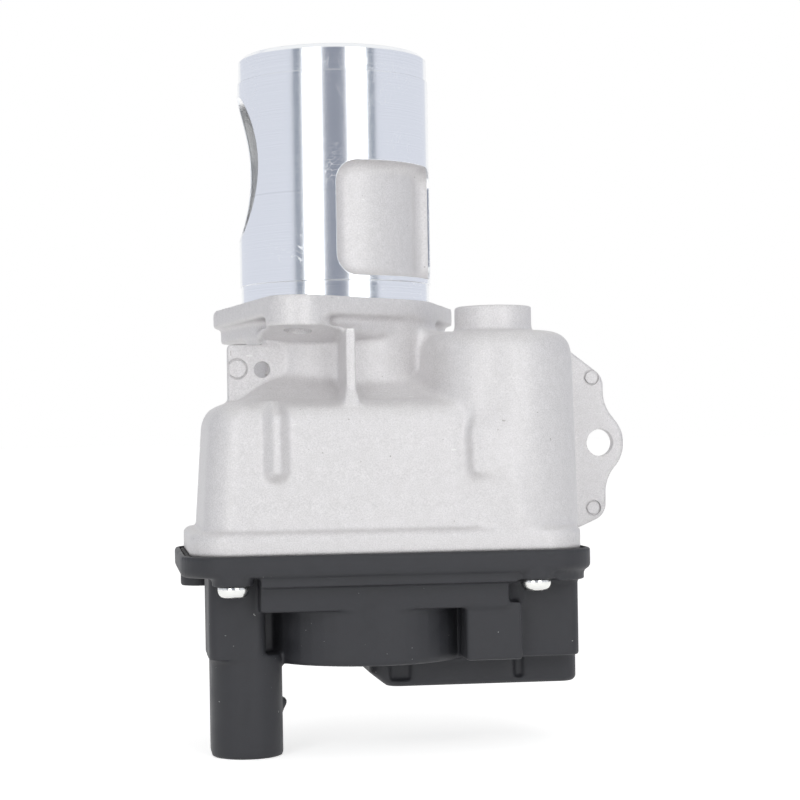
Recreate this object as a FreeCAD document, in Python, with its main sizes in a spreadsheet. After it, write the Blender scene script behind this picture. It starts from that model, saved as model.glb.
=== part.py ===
import FreeCAD, Part
import math
import os
import Sketcher
from FreeCAD import Rotation, Vector

# Exhaust gas recirculation valve.
# The origin is on the tube's axis at the top face of the flange.
# +Z runs up the tube, -Y is the front of the gear housing and +X points to the motor.

doc = FreeCAD.newDocument("egr_valve")
dims = doc.addObject("Spreadsheet::Sheet", "dims")

# Driving dimensions, in millimetres and degrees
SIZES = [
    # Valve tube
    ("tube_od", 50.0), ("tube_bore", 37.0), ("tube_top", 64.4), ("tube_seat", 4.0),
    ("tube_land_low", 4.7), ("tube_land_top", 57.6), ("tube_land_step", 0.35), ("tube_chamfer", 1.1),
    ("window_height", 38.0), ("window_width", 27.4), ("window_middle", 35.5),
    ("pocket_low", 5.9), ("pocket_top", 35.0), ("pocket_depth", 3.8),
    ("pocket_start", -5.0), ("pocket_end", 80.0),
    # Poppet valve and its guide
    ("seat_height", 2.4), ("seat_top", 57.0), ("seat_hole", 26.0), ("head_dia", 30.0), ("head_height", 2.6),
    ("stem_dia", 6.0), ("guide_od", 12.0), ("guide_top", -7.0), ("guide_length", 24.0), ("guide_clearance", 0.05),
    ("seal_height", 3.0), ("valve_lift", 5.0),
    # Spring and its retainer
    ("spring_wire", 1.5), ("spring_mean_dia", 15.0), ("spring_turns", 5.0), ("spring_gap", 0.3),
    ("retainer_dia", 18.0), ("retainer_height", 1.4), ("retainer_low", -60.0),
    ("collar_wall", 1.6), ("collar_height", 2.4),
    # Gear train axes
    ("output_x", 6.0), ("output_y", -13.0), ("motor_x", 38.6), ("motor_y", -22.0),
    ("fine_module", 0.8), ("coarse_module", 1.0),
    ("motor_teeth", 10), ("large_teeth", 34), ("small_teeth", 10), ("output_teeth", 42),
    ("output_low", -81.5), ("output_face", 6.0), ("large_low", -87.0), ("large_face", 4.0),
    ("gear_turn", 75.0), ("running_gap", 0.05),
    ("web_height", 3.0), ("cam_low", -75.0), ("cam_width", 3.2), ("cam_lead", 20.0),
    ("hub_dia", 11.0), ("hub_top", -68.5), ("hub_low", -84.0),
    ("bush_wall", 1.0), ("output_axle_dia", 5.0), ("middle_axle_dia", 4.0), ("axle_grip", 10.0),
    ("magnet_dia", 10.0), ("magnet_height", 2.5),
    # Roller at the foot of the stem
    ("roller_dia", 6.4), ("roller_width", 3.6), ("roller_pin_dia", 2.4), ("cheek_wall", 1.7), ("side_gap", 0.2),
    # Motor
    ("can_dia", 30.0), ("can_top", -14.0), ("can_length", 46.0), ("can_wall", 1.5),
    ("can_boss_dia", 11.0), ("can_boss_height", 4.0), ("motor_shaft_dia", 3.2), ("magnet_wall", 4.0),
    ("magnet_overhang", 2.0), ("rotor_dia", 17.0), ("rotor_drop", 12.0), ("rotor_slots", 5),
    ("winding_height", 4.5), ("winding_gap", 0.5), ("commutator_dia", 8.0), ("commutator_height", 4.6),
    ("commutator_lift", 0.4), ("brush_length", 7.5), ("brush_size", 4.0), ("bush_dia", 8.0),
    ("end_cap_height", 4.5), ("motor_fit", 0.3),
    # Cast housing
    ("flange_band", 4.8), ("flange_depth", 9.0), ("flange_inset", 3.5), ("bolt_hole_dia", 7.0),
    ("front_bolt_x", -13.2), ("front_bolt_y", -33.0), ("lobe_radius", 7.8), ("lobe_depth", 7.5),
    ("left_bolt_x", -22.5), ("left_bolt_y", 24.0), ("right_bolt_x", 26.0), ("right_bolt_y", 22.5),
    ("back_lobe_radius", 8.5), ("neck_left", -17.0), ("neck_right", 26.0), ("neck_front", -22.0), ("neck_back", 19.0),
    ("box_left", -38.0), ("box_front", -39.5), ("box_back", 20.0), ("box_top", -24.5), ("box_draft", 2.4),
    ("box_corner", 9.0), ("wall", 3.0),
    ("motor_wall", 4.1), ("motor_top", -8.6), ("motor_shoulder", 5.5), ("boss_dia", 19.6), ("boss_top", -2.2),
    ("band_top", -57.7), ("deck", -63.7), ("band_left", -41.6), ("band_right", 60.0),
    ("band_front", -42.0), ("band_back", 23.0), ("band_corner", 11.0),
    ("rib_left", -1.5), ("rib_right", 1.0), ("rib_front", -35.0),
    ("strake_x", -19.6), ("strake_width", 5.9), ("strake_height", 2.6), ("strake_low", -44.0),
    ("ear_thickness", 3.2), ("ear_y", 0.0), ("ear_hole_x", 70.2), ("ear_hole_z", -37.3), ("ear_hole_dia", 7.2),
    ("tab_hole_x", -19.8), ("tab_hole_z", -16.8), ("tab_hole_dia", 4.2),
    # Gear cover
    ("gasket_height", 0.6), ("rim_height", 4.3), ("rim_margin", 1.4), ("cover_wall", 2.4),
    ("step_height", 2.6), ("step_inset", 1.6), ("tray_low", -77.4), ("tray_inset", 4.6),
    ("dome_radius", 25.0), ("dome_low", -91.0), ("dome_round", 4.0),
    ("block_left", 27.0), ("block_front", -38.0), ("block_low", -90.6),
    ("sump_left", 9.0), ("sump_right", 60.5), ("sump_front", -23.5), ("sump_back", 11.5), ("sump_low", -99.4),
    ("plug_x", -26.5), ("plug_y", -20.0), ("plug_width", 17.8), ("plug_depth", 26.0),
    ("plug_base_low", -89.4), ("plug_low", -113.8), ("plug_wall", 1.8), ("plug_floor", -93.0),
    ("pin_count", 5), ("pin_pitch", 3.6), ("pin_size", 0.8), ("pin_low", -107.0),
    ("board_height", 1.2), ("board_length", 15.0), ("board_width", 12.0),
    # Cover screws
    ("screw_dia", 4.0), ("screw_head_dia", 7.6), ("screw_head_height", 2.9), ("screw_length", 14.0),
    ("screw_boss_dia", 11.0), ("screw_sink", 2.0), ("screw_margin", 5.6), ("front_margin", 3.0),
    ("left_screw_inset", 11.3), ("right_screw_inset", 15.6),
]


def fill_sheet():
    for row, (name, value) in enumerate(SIZES, start=1):
        dims.set("A%d" % row, name)
        dims.set("B%d" % row, str(value))
        dims.setAlias("B%d" % row, name)
    doc.recompute()


fill_sheet()


def size(name):
    return float(dims.get(name))


def vec(x, y, z=0.0):
    return Vector(x, y, z)


# Sketch-based bodies


def new_body(label, x="0", y="0", z="0"):
    body = doc.addObject("PartDesign::Body", label)
    body.Label = label
    for axis, place in (("x", x), ("y", y), ("z", z)):
        body.setExpression("Placement.Base." + axis, place)
    return body


def new_sketch(body, name, role, height="0"):
    sketch = body.newObject("Sketcher::SketchObject", name)
    plane = [item for item in body.Origin.OriginFeatures if item.Role == role][0]
    sketch.AttachmentSupport = [(plane, "")]
    sketch.MapMode = "FlatFace"
    sketch.setExpression("AttachmentOffset.Base.z", height)
    return sketch


def pin_point(sketch, geometry, place, point, label):
    """Holds one point of a sketch at a pair of sheet expressions"""
    for kind, axis, text in (("DistanceX", "x", point[0]), ("DistanceY", "y", point[1])):
        value = float(sketch.evalExpression(text))
        index = sketch.addConstraint(Sketcher.Constraint(kind, -1, 1, geometry, place, value))
        sketch.renameConstraint(index, axis + label)
        sketch.setExpression("Constraints." + axis + label, text)


def draw_outline(sketch, points):
    """Closed outline of straight lines, each corner held by sheet expressions"""
    first = sketch.GeometryCount
    values = [[float(sketch.evalExpression(text)) for text in point] for point in points]
    count = len(points)
    for index in range(count):
        start, end = values[index], values[(index + 1) % count]
        sketch.addGeometry(Part.LineSegment(vec(*start), vec(*end)), False)
    for index in range(count):
        following = first + (index + 1) % count
        sketch.addConstraint(Sketcher.Constraint("Coincident", first + index, 2, following, 1))
    for index, point in enumerate(points):
        pin_point(sketch, first + index, 1, point, str(first + index))


def turned(label, points, x="0", y="0", z="0"):
    """A piece turned about Z: points are radius and height"""
    body = new_body(label, x, y, z)
    sketch = new_sketch(body, label + "_profile", "XZ_Plane")
    draw_outline(sketch, points)
    spin = body.newObject("PartDesign::Revolution", label + "_turn")
    spin.Profile = sketch
    spin.ReferenceAxis = (sketch, ["V_Axis"])
    spin.Angle = 360
    return body


def ring_points(inner, outer, low, high):
    return [(inner, low), (outer, low), (outer, high), (inner, high)]


# Primitives and booleans


def primitive(kind, name, at=("0", "0", "0"), **sizes):
    item = doc.addObject(kind, name)
    for axis, place in zip("xyz", at):
        item.setExpression("Placement.Base." + axis, place)
    for key, text in sizes.items():
        item.setExpression(key, text)
    return item


def cut(label, base, tool):
    item = doc.addObject("Part::Cut", label)
    item.Label = label
    item.Base = base
    item.Tool = tool
    return item


def made_shape(label, shape):
    item = doc.addObject("Part::Feature", label)
    item.Label = label
    item.Shape = shape
    return item


# Outlines with round corners, read from the sheet


def rounded_wire(corners, z):
    """Closed wire through corners of x, y and radius, each corner rounded by an arc"""
    edges = []
    count = len(corners)
    ends = []
    for index in range(count):
        before, here, after = (corners[(index + step) % count] for step in (-1, 0, 1))
        corner = vec(here[0], here[1], z)
        back = (vec(before[0], before[1], z) - corner).normalize()
        ahead = (vec(after[0], after[1], z) - corner).normalize()
        half = back.getAngle(ahead) / 2
        reach = here[2] / math.tan(half)
        middle = (back + ahead).normalize()
        centre = corner + middle * (here[2] / math.sin(half))
        ends.append((corner + back * reach, centre - middle * here[2], corner + ahead * reach))
    for index, (start, middle, end) in enumerate(ends):
        edges.append(Part.Arc(start, middle, end).toShape())
        edges.append(Part.LineSegment(end, ends[(index + 1) % count][0]).toShape())
    return Part.Wire(edges)


def rectangle_corners(left, right, front, back, radius):
    return [(left, front, radius), (right, front, radius), (right, back, radius), (left, back, radius)]


def belt_wire(circles, z):
    """Outline of a belt stretched round circles of x, y and radius, listed anticlockwise"""
    touches = []
    count = len(circles)
    for index in range(count):
        one, two = circles[index], circles[(index + 1) % count]
        centre_one, centre_two = vec(one[0], one[1], z), vec(two[0], two[1], z)
        along = centre_two - centre_one
        lean = (one[2] - two[2]) / along.Length
        along.normalize()
        right = Vector(along.y, -along.x, 0)
        normal = right * math.sqrt(1 - lean * lean) + along * lean
        touches.append((centre_one + normal * one[2], centre_two + normal * two[2], normal))
    edges = []
    for index in range(count):
        start, end, normal = touches[index]
        following = touches[(index + 1) % count]
        circle = circles[(index + 1) % count]
        edges.append(Part.LineSegment(start, end).toShape())
        turn = (math.atan2(following[2].y, following[2].x) - math.atan2(normal.y, normal.x)) % (2 * math.pi)
        if 1e-4 < turn < 2 * math.pi - 1e-4:
            middle = Rotation(Vector(0, 0, 1), math.degrees(turn / 2)).multVec(normal)
            top = vec(circle[0], circle[1], z) + middle * circle[2]
            edges.append(Part.Arc(end, top, following[0]).toShape())
    return Part.Wire(edges)


def prism(wire, height):
    return Part.Face(wire).extrude(Vector(0, 0, height))


def cylinder(x, y, radius, low, high):
    return Part.makeCylinder(radius, high - low, vec(x, y, low))


def block(left, right, front, back, low, high):
    return Part.makeBox(right - left, back - front, high - low, vec(left, front, low))


def level_edges(shape, z):
    """Edges that lie flat at one height"""
    return [e for e in shape.Edges if abs(e.BoundBox.ZMin - z) < 1e-4 and abs(e.BoundBox.ZMax - z) < 1e-4]


def round_level(shape, z, radius):
    return shape.makeFillet(radius, level_edges(shape, z))


# Places that several pieces share


def middle_axis():
    """Axis of the intermediate gear, in mesh with both its neighbours"""
    reach_motor = size("fine_module") * (size("motor_teeth") + size("large_teeth")) / 2
    reach_output = size("coarse_module") * (size("small_teeth") + size("output_teeth")) / 2
    motor = vec(size("motor_x"), size("motor_y"))
    output = vec(size("output_x"), size("output_y"))
    along = output - motor
    span = along.Length
    along.normalize()
    foot = (reach_motor ** 2 - reach_output ** 2 + span ** 2) / (2 * span)
    side = math.sqrt(reach_motor ** 2 - foot ** 2)
    return motor + along * foot + Vector(along.y, -along.x, 0) * side


MIDDLE = middle_axis()


def follower_angle():
    """Direction from the output gear's axis to the valve stem, in degrees"""
    return math.degrees(math.atan2(-size("output_y"), -size("output_x")))


def cam_radius():
    return math.hypot(size("output_x"), size("output_y"))


def screw_places():
    left, right = size("band_left"), size("band_right")
    near, far = size("band_front") + size("front_margin"), size("band_back") - size("screw_margin")
    return [
        (left + size("left_screw_inset"), near), (right - size("right_screw_inset"), near),
        (right - size("screw_margin"), far), (0.5 * (left + right), far), (left + size("screw_margin"), far),
    ]


# Valve tube, seat and poppet


def pocket_cutter():
    """Cast recess in the tube's wall, a sector with round corners and a hollow-rounded floor"""
    outside = size("tube_od") / 2
    floor = outside - size("pocket_depth")
    low, top = size("pocket_low"), size("pocket_top")
    start = math.radians(size("pocket_start") - 90)
    corners = [vec(floor, 0, low), vec(outside + 3, 0, low), vec(outside + 3, 0, top), vec(floor, 0, top)]
    face = Part.Face(Part.makePolygon(corners + corners[:1]))
    face.rotate(Vector(), Vector(0, 0, 1), math.degrees(start))
    sector = face.revolve(Vector(), Vector(0, 0, 1), size("pocket_end") - size("pocket_start"))
    radial = [e for e in sector.Edges if abs(e.Length - (outside + 3 - floor)) < 1e-3]
    sector = sector.makeFillet(5.5, radial)
    floor_edges = []
    for edge in sector.Edges:
        points = edge.discretize(5)
        if all(abs(math.hypot(p.x, p.y) - floor) < 1e-3 for p in points):
            floor_edges.append(edge)
    return sector.makeFillet(0.85 * size("pocket_depth"), floor_edges)


def valve_tube():
    wall, land = "dims.tube_od / 2", "dims.tube_od / 2 - dims.tube_land_step"
    blank = turned("tube_blank", [
        ("dims.tube_bore / 2", "-dims.tube_seat"), (wall, "-dims.tube_seat"), (wall, "0"), (land, "0"),
        (land, "dims.tube_land_low"), (wall, "dims.tube_land_low"), (wall, "dims.tube_land_top"),
        (land, "dims.tube_land_top"), (land, "dims.tube_top - dims.tube_chamfer"),
        (land + " - dims.tube_chamfer", "dims.tube_top"), ("dims.tube_bore / 2", "dims.tube_top")])
    oval = primitive("Part::Ellipse", "window_oval", ("0", "0", "dims.window_middle"),
                     MajorRadius="dims.window_height / 2", MinorRadius="dims.window_width / 2")
    oval.Placement.Rotation = Rotation(Vector(0, 1, 0), 90)
    window = doc.addObject("Part::Extrusion", "window")
    window.Base = oval
    window.DirMode = "Custom"
    window.Dir = Vector(-1, 0, 0)
    window.setExpression("LengthFwd", "dims.tube_od")
    window.Solid = True
    recess = made_shape("cast_recess", pocket_cutter())
    open_tube = cut("open_tube", blank, window)
    return cut("valve_tube", open_tube, recess)


def seat_ring():
    hole, top = "dims.seat_hole / 2", "dims.seat_top"
    low = top + " - dims.seat_height"
    return turned("seat_ring", [
        (hole, low), ("dims.tube_bore / 2", low), ("dims.tube_bore / 2", top),
        (hole + " + 1.2", top), (hole, top + " - 1.2")])


def valve_head():
    stem, rim = "dims.stem_dia / 2", "dims.head_dia / 2"
    low = "dims.seat_top + dims.running_gap"
    top = low + " + dims.head_height"
    return turned("valve_head", [
        (stem, low + " - 4"), (stem + " + 1.4", low + " - 4"), ("dims.seat_hole / 2 - 0.8", low), (rim, low),
        (rim, low + " + dims.head_height / 2"), (rim + " - 1.3", top), (stem, top)])


def valve_stem():
    stem, top = "dims.stem_dia / 2", "dims.seat_top + dims.running_gap + dims.head_height"
    low = "dims.retainer_low - 4"
    return turned("valve_stem", [
        ("0", low), (stem + " - 0.5", low), (stem, low + " + 0.5"), (stem, top + " - 0.4"),
        (stem + " - 0.4", top), ("0", top)])


def stem_guide():
    low = "dims.guide_top - dims.guide_length"
    return turned("stem_guide", ring_points(
        "dims.stem_dia / 2 + dims.guide_clearance", "dims.guide_od / 2", low, "dims.guide_top"))


def stem_seal():
    bore = "dims.stem_dia / 2 + dims.guide_clearance"
    low, top = "dims.guide_top", "dims.guide_top + dims.seal_height"
    return turned("stem_seal", [
        (bore, low), ("dims.guide_od / 2", low), ("dims.guide_od / 2", top), (bore + " + 1.4", top),
        (bore + " + 1.0", low + " + 1.2"), (bore, low + " + 1.0")])


def spring_retainer():
    low, stem = "dims.retainer_low", "dims.stem_dia / 2"
    high = low + " + dims.retainer_height"
    return turned("spring_retainer", [
        (stem, low), ("dims.retainer_dia / 2", low), ("dims.retainer_dia / 2", high),
        (stem + " + dims.collar_wall", high), (stem + " + dims.collar_wall", high + " + dims.collar_height"),
        (stem, high + " + dims.collar_height")])


def spring_ends():
    """Heights of the deck and the retainer, which the spring lies between"""
    return (size("retainer_low") + size("retainer_height"), size("guide_top") - size("guide_length"))


def return_spring():
    low, high = spring_ends()
    wire, radius = size("spring_wire") / 2, size("spring_mean_dia") / 2
    rise = high - low - 2 * (wire + size("spring_gap"))
    path = Part.makeHelix(rise / size("spring_turns"), rise, radius)
    section = Part.Wire(Part.makeCircle(wire, vec(radius, 0, 0), Vector(0, 1, 0)))
    coil = Part.Wire(path).makePipeShell([section], True, True)
    coil.translate(vec(0, 0, low + wire + size("spring_gap")))
    return made_shape("return_spring", coil)


# Roller that follows the output gear's cam


def roller_height():
    return size("cam_low") + size("roller_dia") / 2 + size("running_gap")


def facing_output(shape):
    """Turns a shape made along X to point from the output gear's axis to the stem"""
    shape.rotate(Vector(), Vector(0, 0, 1), follower_angle())
    return shape


def roller_yoke():
    inner = size("roller_width") / 2 + size("side_gap")
    outer = inner + size("cheek_wall")
    bridge = size("retainer_low") - 6
    foot = roller_height() - 1.7
    body = block(-outer, outer, -outer, outer, bridge, size("retainer_low"))
    body = body.makeFillet(1.2, [e for e in body.Edges if e.BoundBox.ZLength > 3])
    cheeks = [block(side, side + size("cheek_wall"), -outer, outer, foot, bridge) for side in (-outer, inner)]
    body = body.fuse(cheeks).removeSplitter()
    body = body.cut(cylinder(0, 0, size("stem_dia") / 2, size("retainer_low") - 4, size("retainer_low")))
    bore = Part.makeCylinder(size("roller_pin_dia") / 2, 4 * outer, vec(-2 * outer, 0, roller_height()), Vector(1, 0, 0))
    return made_shape("roller_yoke", facing_output(body.cut(bore)))


def along_radius(label, inner, outer, half_length):
    """A turned piece whose axis lies level and points at the output gear's axis"""
    body = turned(label, ring_points(inner, outer, "-" + half_length, half_length))
    lean = Rotation(Vector(0, 0, 1), follower_angle()).multiply(Rotation(Vector(0, 1, 0), 90))
    body.Placement.Rotation = lean
    body.setExpression("Placement.Base.z", "dims.cam_low + dims.roller_dia / 2 + dims.running_gap")
    return body


def cam_roller():
    return along_radius("cam_roller", "dims.roller_pin_dia / 2 + dims.running_gap",
                        "dims.roller_dia / 2", "dims.roller_width / 2")


def roller_pin():
    return along_radius("roller_pin", "0", "dims.roller_pin_dia / 2",
                        "(dims.roller_width / 2 + dims.side_gap + dims.cheek_wall)")


# Gears


PRESSURE_ANGLE = math.radians(20)
TOOTH_SHARE = 0.44


def tooth_half_angle(radius, pitch_radius, teeth):
    """Half of a tooth's angle at one radius of an involute flank"""
    base = pitch_radius * math.cos(PRESSURE_ANGLE)
    lean = math.acos(min(1.0, base / radius))
    at_pitch = math.tan(PRESSURE_ANGLE) - PRESSURE_ANGLE
    return math.pi / teeth * TOOTH_SHARE + at_pitch - (math.tan(lean) - lean)


def gear_wire(centre, module, teeth, phase, z):
    """Outline of a spur gear with one tooth's middle at the angle phase, in degrees"""
    pitch_radius = module * teeth / 2
    base = pitch_radius * math.cos(PRESSURE_ANGLE)
    root, tip = pitch_radius - 1.2 * module, pitch_radius + 0.85 * module
    flank = [max(base, root), pitch_radius, tip]
    points = []
    for tooth in range(teeth):
        middle = math.radians(phase) + 2 * math.pi * tooth / teeth
        halves = [(radius, tooth_half_angle(radius, pitch_radius, teeth)) for radius in flank]
        halves.insert(0, (root, halves[0][1] * 1.05))
        rising = [(radius, middle - half) for radius, half in halves]
        falling = [(radius, middle + half) for radius, half in reversed(halves)]
        points += [centre + vec(r * math.cos(a), r * math.sin(a), z) for r, a in rising + falling]
    return Part.makePolygon(points + points[:1])


def heading(start, end):
    return math.degrees(math.atan2(end.y - start.y, end.x - start.x))


OUTPUT = vec(size("output_x"), size("output_y"))
MOTOR = vec(size("motor_x"), size("motor_y"))


def cam_track():
    """Helical track that lifts the roller in step with the gear's turn"""
    radius, half = cam_radius(), size("cam_width") / 2
    foot = size("output_low") + size("output_face") / 2 + size("web_height") / 2 - 0.5
    turn, lead = size("gear_turn"), size("cam_lead")
    slope = math.atan(size("valve_lift") / (radius * math.radians(turn)))
    relief = size("roller_dia") / 2 * (1 / math.cos(slope) - 1)
    steps = 6
    places = [(-lead, 0.0)] + [(turn * i / steps, size("valve_lift") * i / steps) for i in range(steps + 1)]
    places.append((turn + lead / 2, size("valve_lift")))
    sections = []
    for angle, lift in places:
        way = math.radians(follower_angle() - angle)
        out = vec(math.cos(way), math.sin(way))
        top = size("cam_low") + lift - relief
        corners = [OUTPUT + out * (radius + side) + vec(0, 0, z)
                   for side, z in ((-half, foot), (half, foot), (half, top), (-half, top))]
        sections.append(Part.makePolygon(corners + corners[:1]))
    return Part.makeLoft(sections, True, True)


def output_gear():
    low, face = size("output_low"), size("output_face")
    teeth, module = int(size("output_teeth")), size("coarse_module")
    rim_inner = module * teeth / 2 - 1.2 * module - 1.8
    rim = prism(gear_wire(OUTPUT, module, teeth, heading(OUTPUT, MIDDLE), low), face)
    rim = rim.cut(cylinder(OUTPUT.x, OUTPUT.y, rim_inner, low - 1, low + face + 1))
    web_low = low + (face - size("web_height")) / 2
    web = cylinder(OUTPUT.x, OUTPUT.y, rim_inner, web_low, web_low + size("web_height"))
    hub = cylinder(OUTPUT.x, OUTPUT.y, size("hub_dia") / 2, size("hub_low"), size("hub_top"))
    body = rim.fuse([web, hub, cam_track()]).removeSplitter()
    window_radius = (cam_radius() - size("cam_width") / 2 - size("hub_dia") / 2) / 2
    for index in range(6):
        way = math.radians(60 * index)
        reach = window_radius + size("hub_dia") / 2
        hole = cylinder(OUTPUT.x + reach * math.cos(way), OUTPUT.y + reach * math.sin(way),
                        window_radius - 0.9, low, low + face)
        body = body.cut(hole)
    bore = size("output_axle_dia") / 2 + size("running_gap") + size("bush_wall")
    body = body.cut(cylinder(OUTPUT.x, OUTPUT.y, bore, size("hub_low") + 0.8, size("hub_top")))
    return made_shape("output_gear", body)


def output_bush():
    bore = "dims.output_axle_dia / 2 + dims.running_gap"
    return turned("output_bush", ring_points(
        bore, bore + " + dims.bush_wall", "dims.hub_low + 0.8", "dims.hub_top"), "dims.output_x", "dims.output_y")


def output_axle():
    radius = "dims.output_axle_dia / 2"
    return turned("output_axle", [
        ("0", "dims.hub_low + 1.1"), (radius + " - 0.4", "dims.hub_low + 1.1"), (radius, "dims.hub_low + 1.5"),
        (radius, "dims.hub_top + dims.axle_grip + 1.2"), ("0", "dims.hub_top + dims.axle_grip + 1.2")],
        "dims.output_x", "dims.output_y")


def sensor_magnet():
    return turned("sensor_magnet", ring_points(
        "0", "dims.magnet_dia / 2", "dims.hub_low - dims.magnet_height", "dims.hub_low"),
        "dims.output_x", "dims.output_y")


def intermediate_gear():
    low, face = size("large_low"), size("large_face")
    top = size("output_low") + size("output_face") + 0.5
    towards_output = heading(MIDDLE, OUTPUT) + 180 / size("small_teeth")
    large = prism(gear_wire(MIDDLE, size("fine_module"), int(size("large_teeth")), heading(MIDDLE, MOTOR), low), face)
    small = prism(gear_wire(MIDDLE, size("coarse_module"), int(size("small_teeth")), towards_output, low), top - low)
    body = large.fuse(small).removeSplitter()
    groove = cylinder(MIDDLE.x, MIDDLE.y, 11.5, low - 1, low + 1).cut(cylinder(MIDDLE.x, MIDDLE.y, 6.5, low - 1, low + 1))
    bore = size("middle_axle_dia") / 2 + size("running_gap")
    return made_shape("intermediate_gear", body.cut(groove).cut(cylinder(MIDDLE.x, MIDDLE.y, bore, low - 1, top + 1)))


# Motor


def motor_piece(label, points):
    return turned(label, points, "dims.motor_x", "dims.motor_y")


CAN_LOW = "(dims.can_top - dims.can_length)"
BUSH_OUTER = "(dims.bush_dia / 2)"


def can_low():
    return size("can_top") - size("can_length")


def rotor_span():
    """Lowest and highest level of the rotor's core, between the commutator and the can's closed end"""
    low = can_low() + size("commutator_lift") + size("commutator_height") + size("winding_gap") + size("winding_height")
    return low, size("can_top") - size("rotor_drop")


def motor_can():
    outer, inner = "dims.can_dia / 2", "dims.can_dia / 2 - dims.can_wall"
    return motor_piece("motor_can", [
        (inner, CAN_LOW), (outer, CAN_LOW), (outer, "dims.can_top - 1.5"), (outer + " - 1.5", "dims.can_top"),
        ("dims.can_boss_dia / 2", "dims.can_top"), ("dims.can_boss_dia / 2", "dims.can_top + dims.can_boss_height"),
        (BUSH_OUTER, "dims.can_top + dims.can_boss_height"), (BUSH_OUTER, "dims.can_top - dims.can_wall"),
        (inner, "dims.can_top - dims.can_wall")])


def motor_end_cap():
    outer = "dims.can_dia / 2"
    low = CAN_LOW + " - dims.end_cap_height"
    return motor_piece("motor_end_cap", [
        (BUSH_OUTER, low), (outer + " - 2", low), (outer, low + " + 2"), (outer, CAN_LOW), (BUSH_OUTER, CAN_LOW)])


def motor_bushes():
    bore = size("motor_shaft_dia") / 2 + size("running_gap")
    rings = []
    for low, high in ((size("can_top") - size("can_wall"), size("can_top") + size("can_boss_height")),
                      (can_low() - size("end_cap_height"), can_low())):
        ring = cylinder(MOTOR.x, MOTOR.y, size("bush_dia") / 2, low, high)
        rings.append(ring.cut(cylinder(MOTOR.x, MOTOR.y, bore, low - 1, high + 1)))
    return made_shape("motor_bushes", Part.makeCompound(rings))


def motor_magnets():
    outer = size("can_dia") / 2 - size("can_wall")
    inner = outer - size("magnet_wall")
    low, high = rotor_span()[0] - size("magnet_overhang"), rotor_span()[1] + size("magnet_overhang")
    face = Part.Face(Part.makePolygon([vec(inner, 0, low), vec(outer, 0, low), vec(outer, 0, high),
                                       vec(inner, 0, high), vec(inner, 0, low)]))
    arcs = []
    for start in (-75, 105):
        arc = face.revolve(Vector(), Vector(0, 0, 1), 150)
        arc.rotate(Vector(), Vector(0, 0, 1), start)
        arc.translate(MOTOR)
        arcs.append(arc)
    return made_shape("motor_magnets", Part.makeCompound(arcs))


def rotor_core():
    low, high = rotor_span()
    radius = size("rotor_dia") / 2
    body = cylinder(0, 0, radius, low, high)
    slot = block(radius - 1.2, radius + 1, -0.9, 0.9, low - 1, high + 1).fuse(
        cylinder(radius - 3.2, 0, 2.2, low - 1, high + 1))
    slots = int(size("rotor_slots"))
    for index in range(slots):
        turned_slot = slot.copy()
        turned_slot.rotate(Vector(), Vector(0, 0, 1), 360 / slots * index)
        body = body.cut(turned_slot)
    body = body.cut(cylinder(0, 0, size("motor_shaft_dia") / 2, low - 1, high + 1))
    body.translate(MOTOR)
    return made_shape("rotor_core", body)


def rotor_windings():
    low, high = rotor_span()
    rings = []
    for start, end in ((low - size("winding_height"), low), (high, high + size("winding_height"))):
        ring = cylinder(MOTOR.x, MOTOR.y, size("rotor_dia") / 2 - 1.2, start, end)
        rings.append(ring.cut(cylinder(MOTOR.x, MOTOR.y, size("motor_shaft_dia") / 2, start - 1, end + 1)))
    return made_shape("rotor_windings", Part.makeCompound(rings))


def commutator():
    low = CAN_LOW + " + dims.commutator_lift"
    return motor_piece("commutator", ring_points(
        "dims.motor_shaft_dia / 2", "dims.commutator_dia / 2", low, low + " + dims.commutator_height"))


def carbon_brushes():
    low, half = can_low(), size("brush_size") / 2
    near = size("commutator_dia") / 2 + size("running_gap")
    brushes = []
    for side in (0, 180):
        brush = block(near, near + size("brush_length"), -half, half, low, low + 2 * half + 0.5)
        brush.rotate(Vector(), Vector(0, 0, 1), side)
        brush.translate(MOTOR)
        brushes.append(brush)
    return made_shape("carbon_brushes", Part.makeCompound(brushes))


def motor_shaft():
    radius = "dims.motor_shaft_dia / 2"
    top = "dims.can_top + dims.can_boss_height - 0.5"
    return motor_piece("motor_shaft", [
        ("0", "dims.large_low - 0.6"), (radius, "dims.large_low - 0.6"), (radius, top + " - 0.4"),
        (radius + " - 0.4", top), ("0", top)])


def motor_pinion():
    low = size("large_low") - 0.6
    phase = heading(MOTOR, MIDDLE) + 180 / size("motor_teeth")
    body = prism(gear_wire(MOTOR, size("fine_module"), int(size("motor_teeth")), phase, low), size("large_face") + 1.4)
    return made_shape("motor_pinion", body.cut(cylinder(MOTOR.x, MOTOR.y, size("motor_shaft_dia") / 2, low - 1, low + 9)))


# Cast housing


def flange():
    """Plate with three bolt lobes, thicker under the tube and at each bolt"""
    collar = size("tube_od") / 2 + 0.8
    lobes = [
        (size("front_bolt_x"), size("front_bolt_y"), size("lobe_radius")), (0, 0, collar),
        (size("right_bolt_x"), size("right_bolt_y"), size("back_lobe_radius")),
        (size("left_bolt_x"), size("left_bolt_y"), size("back_lobe_radius")),
    ]
    band = prism(belt_wire(lobes, -size("flange_band")), size("flange_band"))
    pieces = [round_level(band, 0, 0.6)]
    pieces.append(cylinder(0, 0, collar - size("flange_inset"), -size("flange_depth"), -1))
    pieces.append(cylinder(lobes[0][0], lobes[0][1], lobes[0][2], -size("lobe_depth"), -1))
    for x, y, radius in lobes[2:]:
        pieces.append(cylinder(x, y, radius - size("flange_inset") / 2, -size("flange_depth"), -1))
    return pieces


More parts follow.
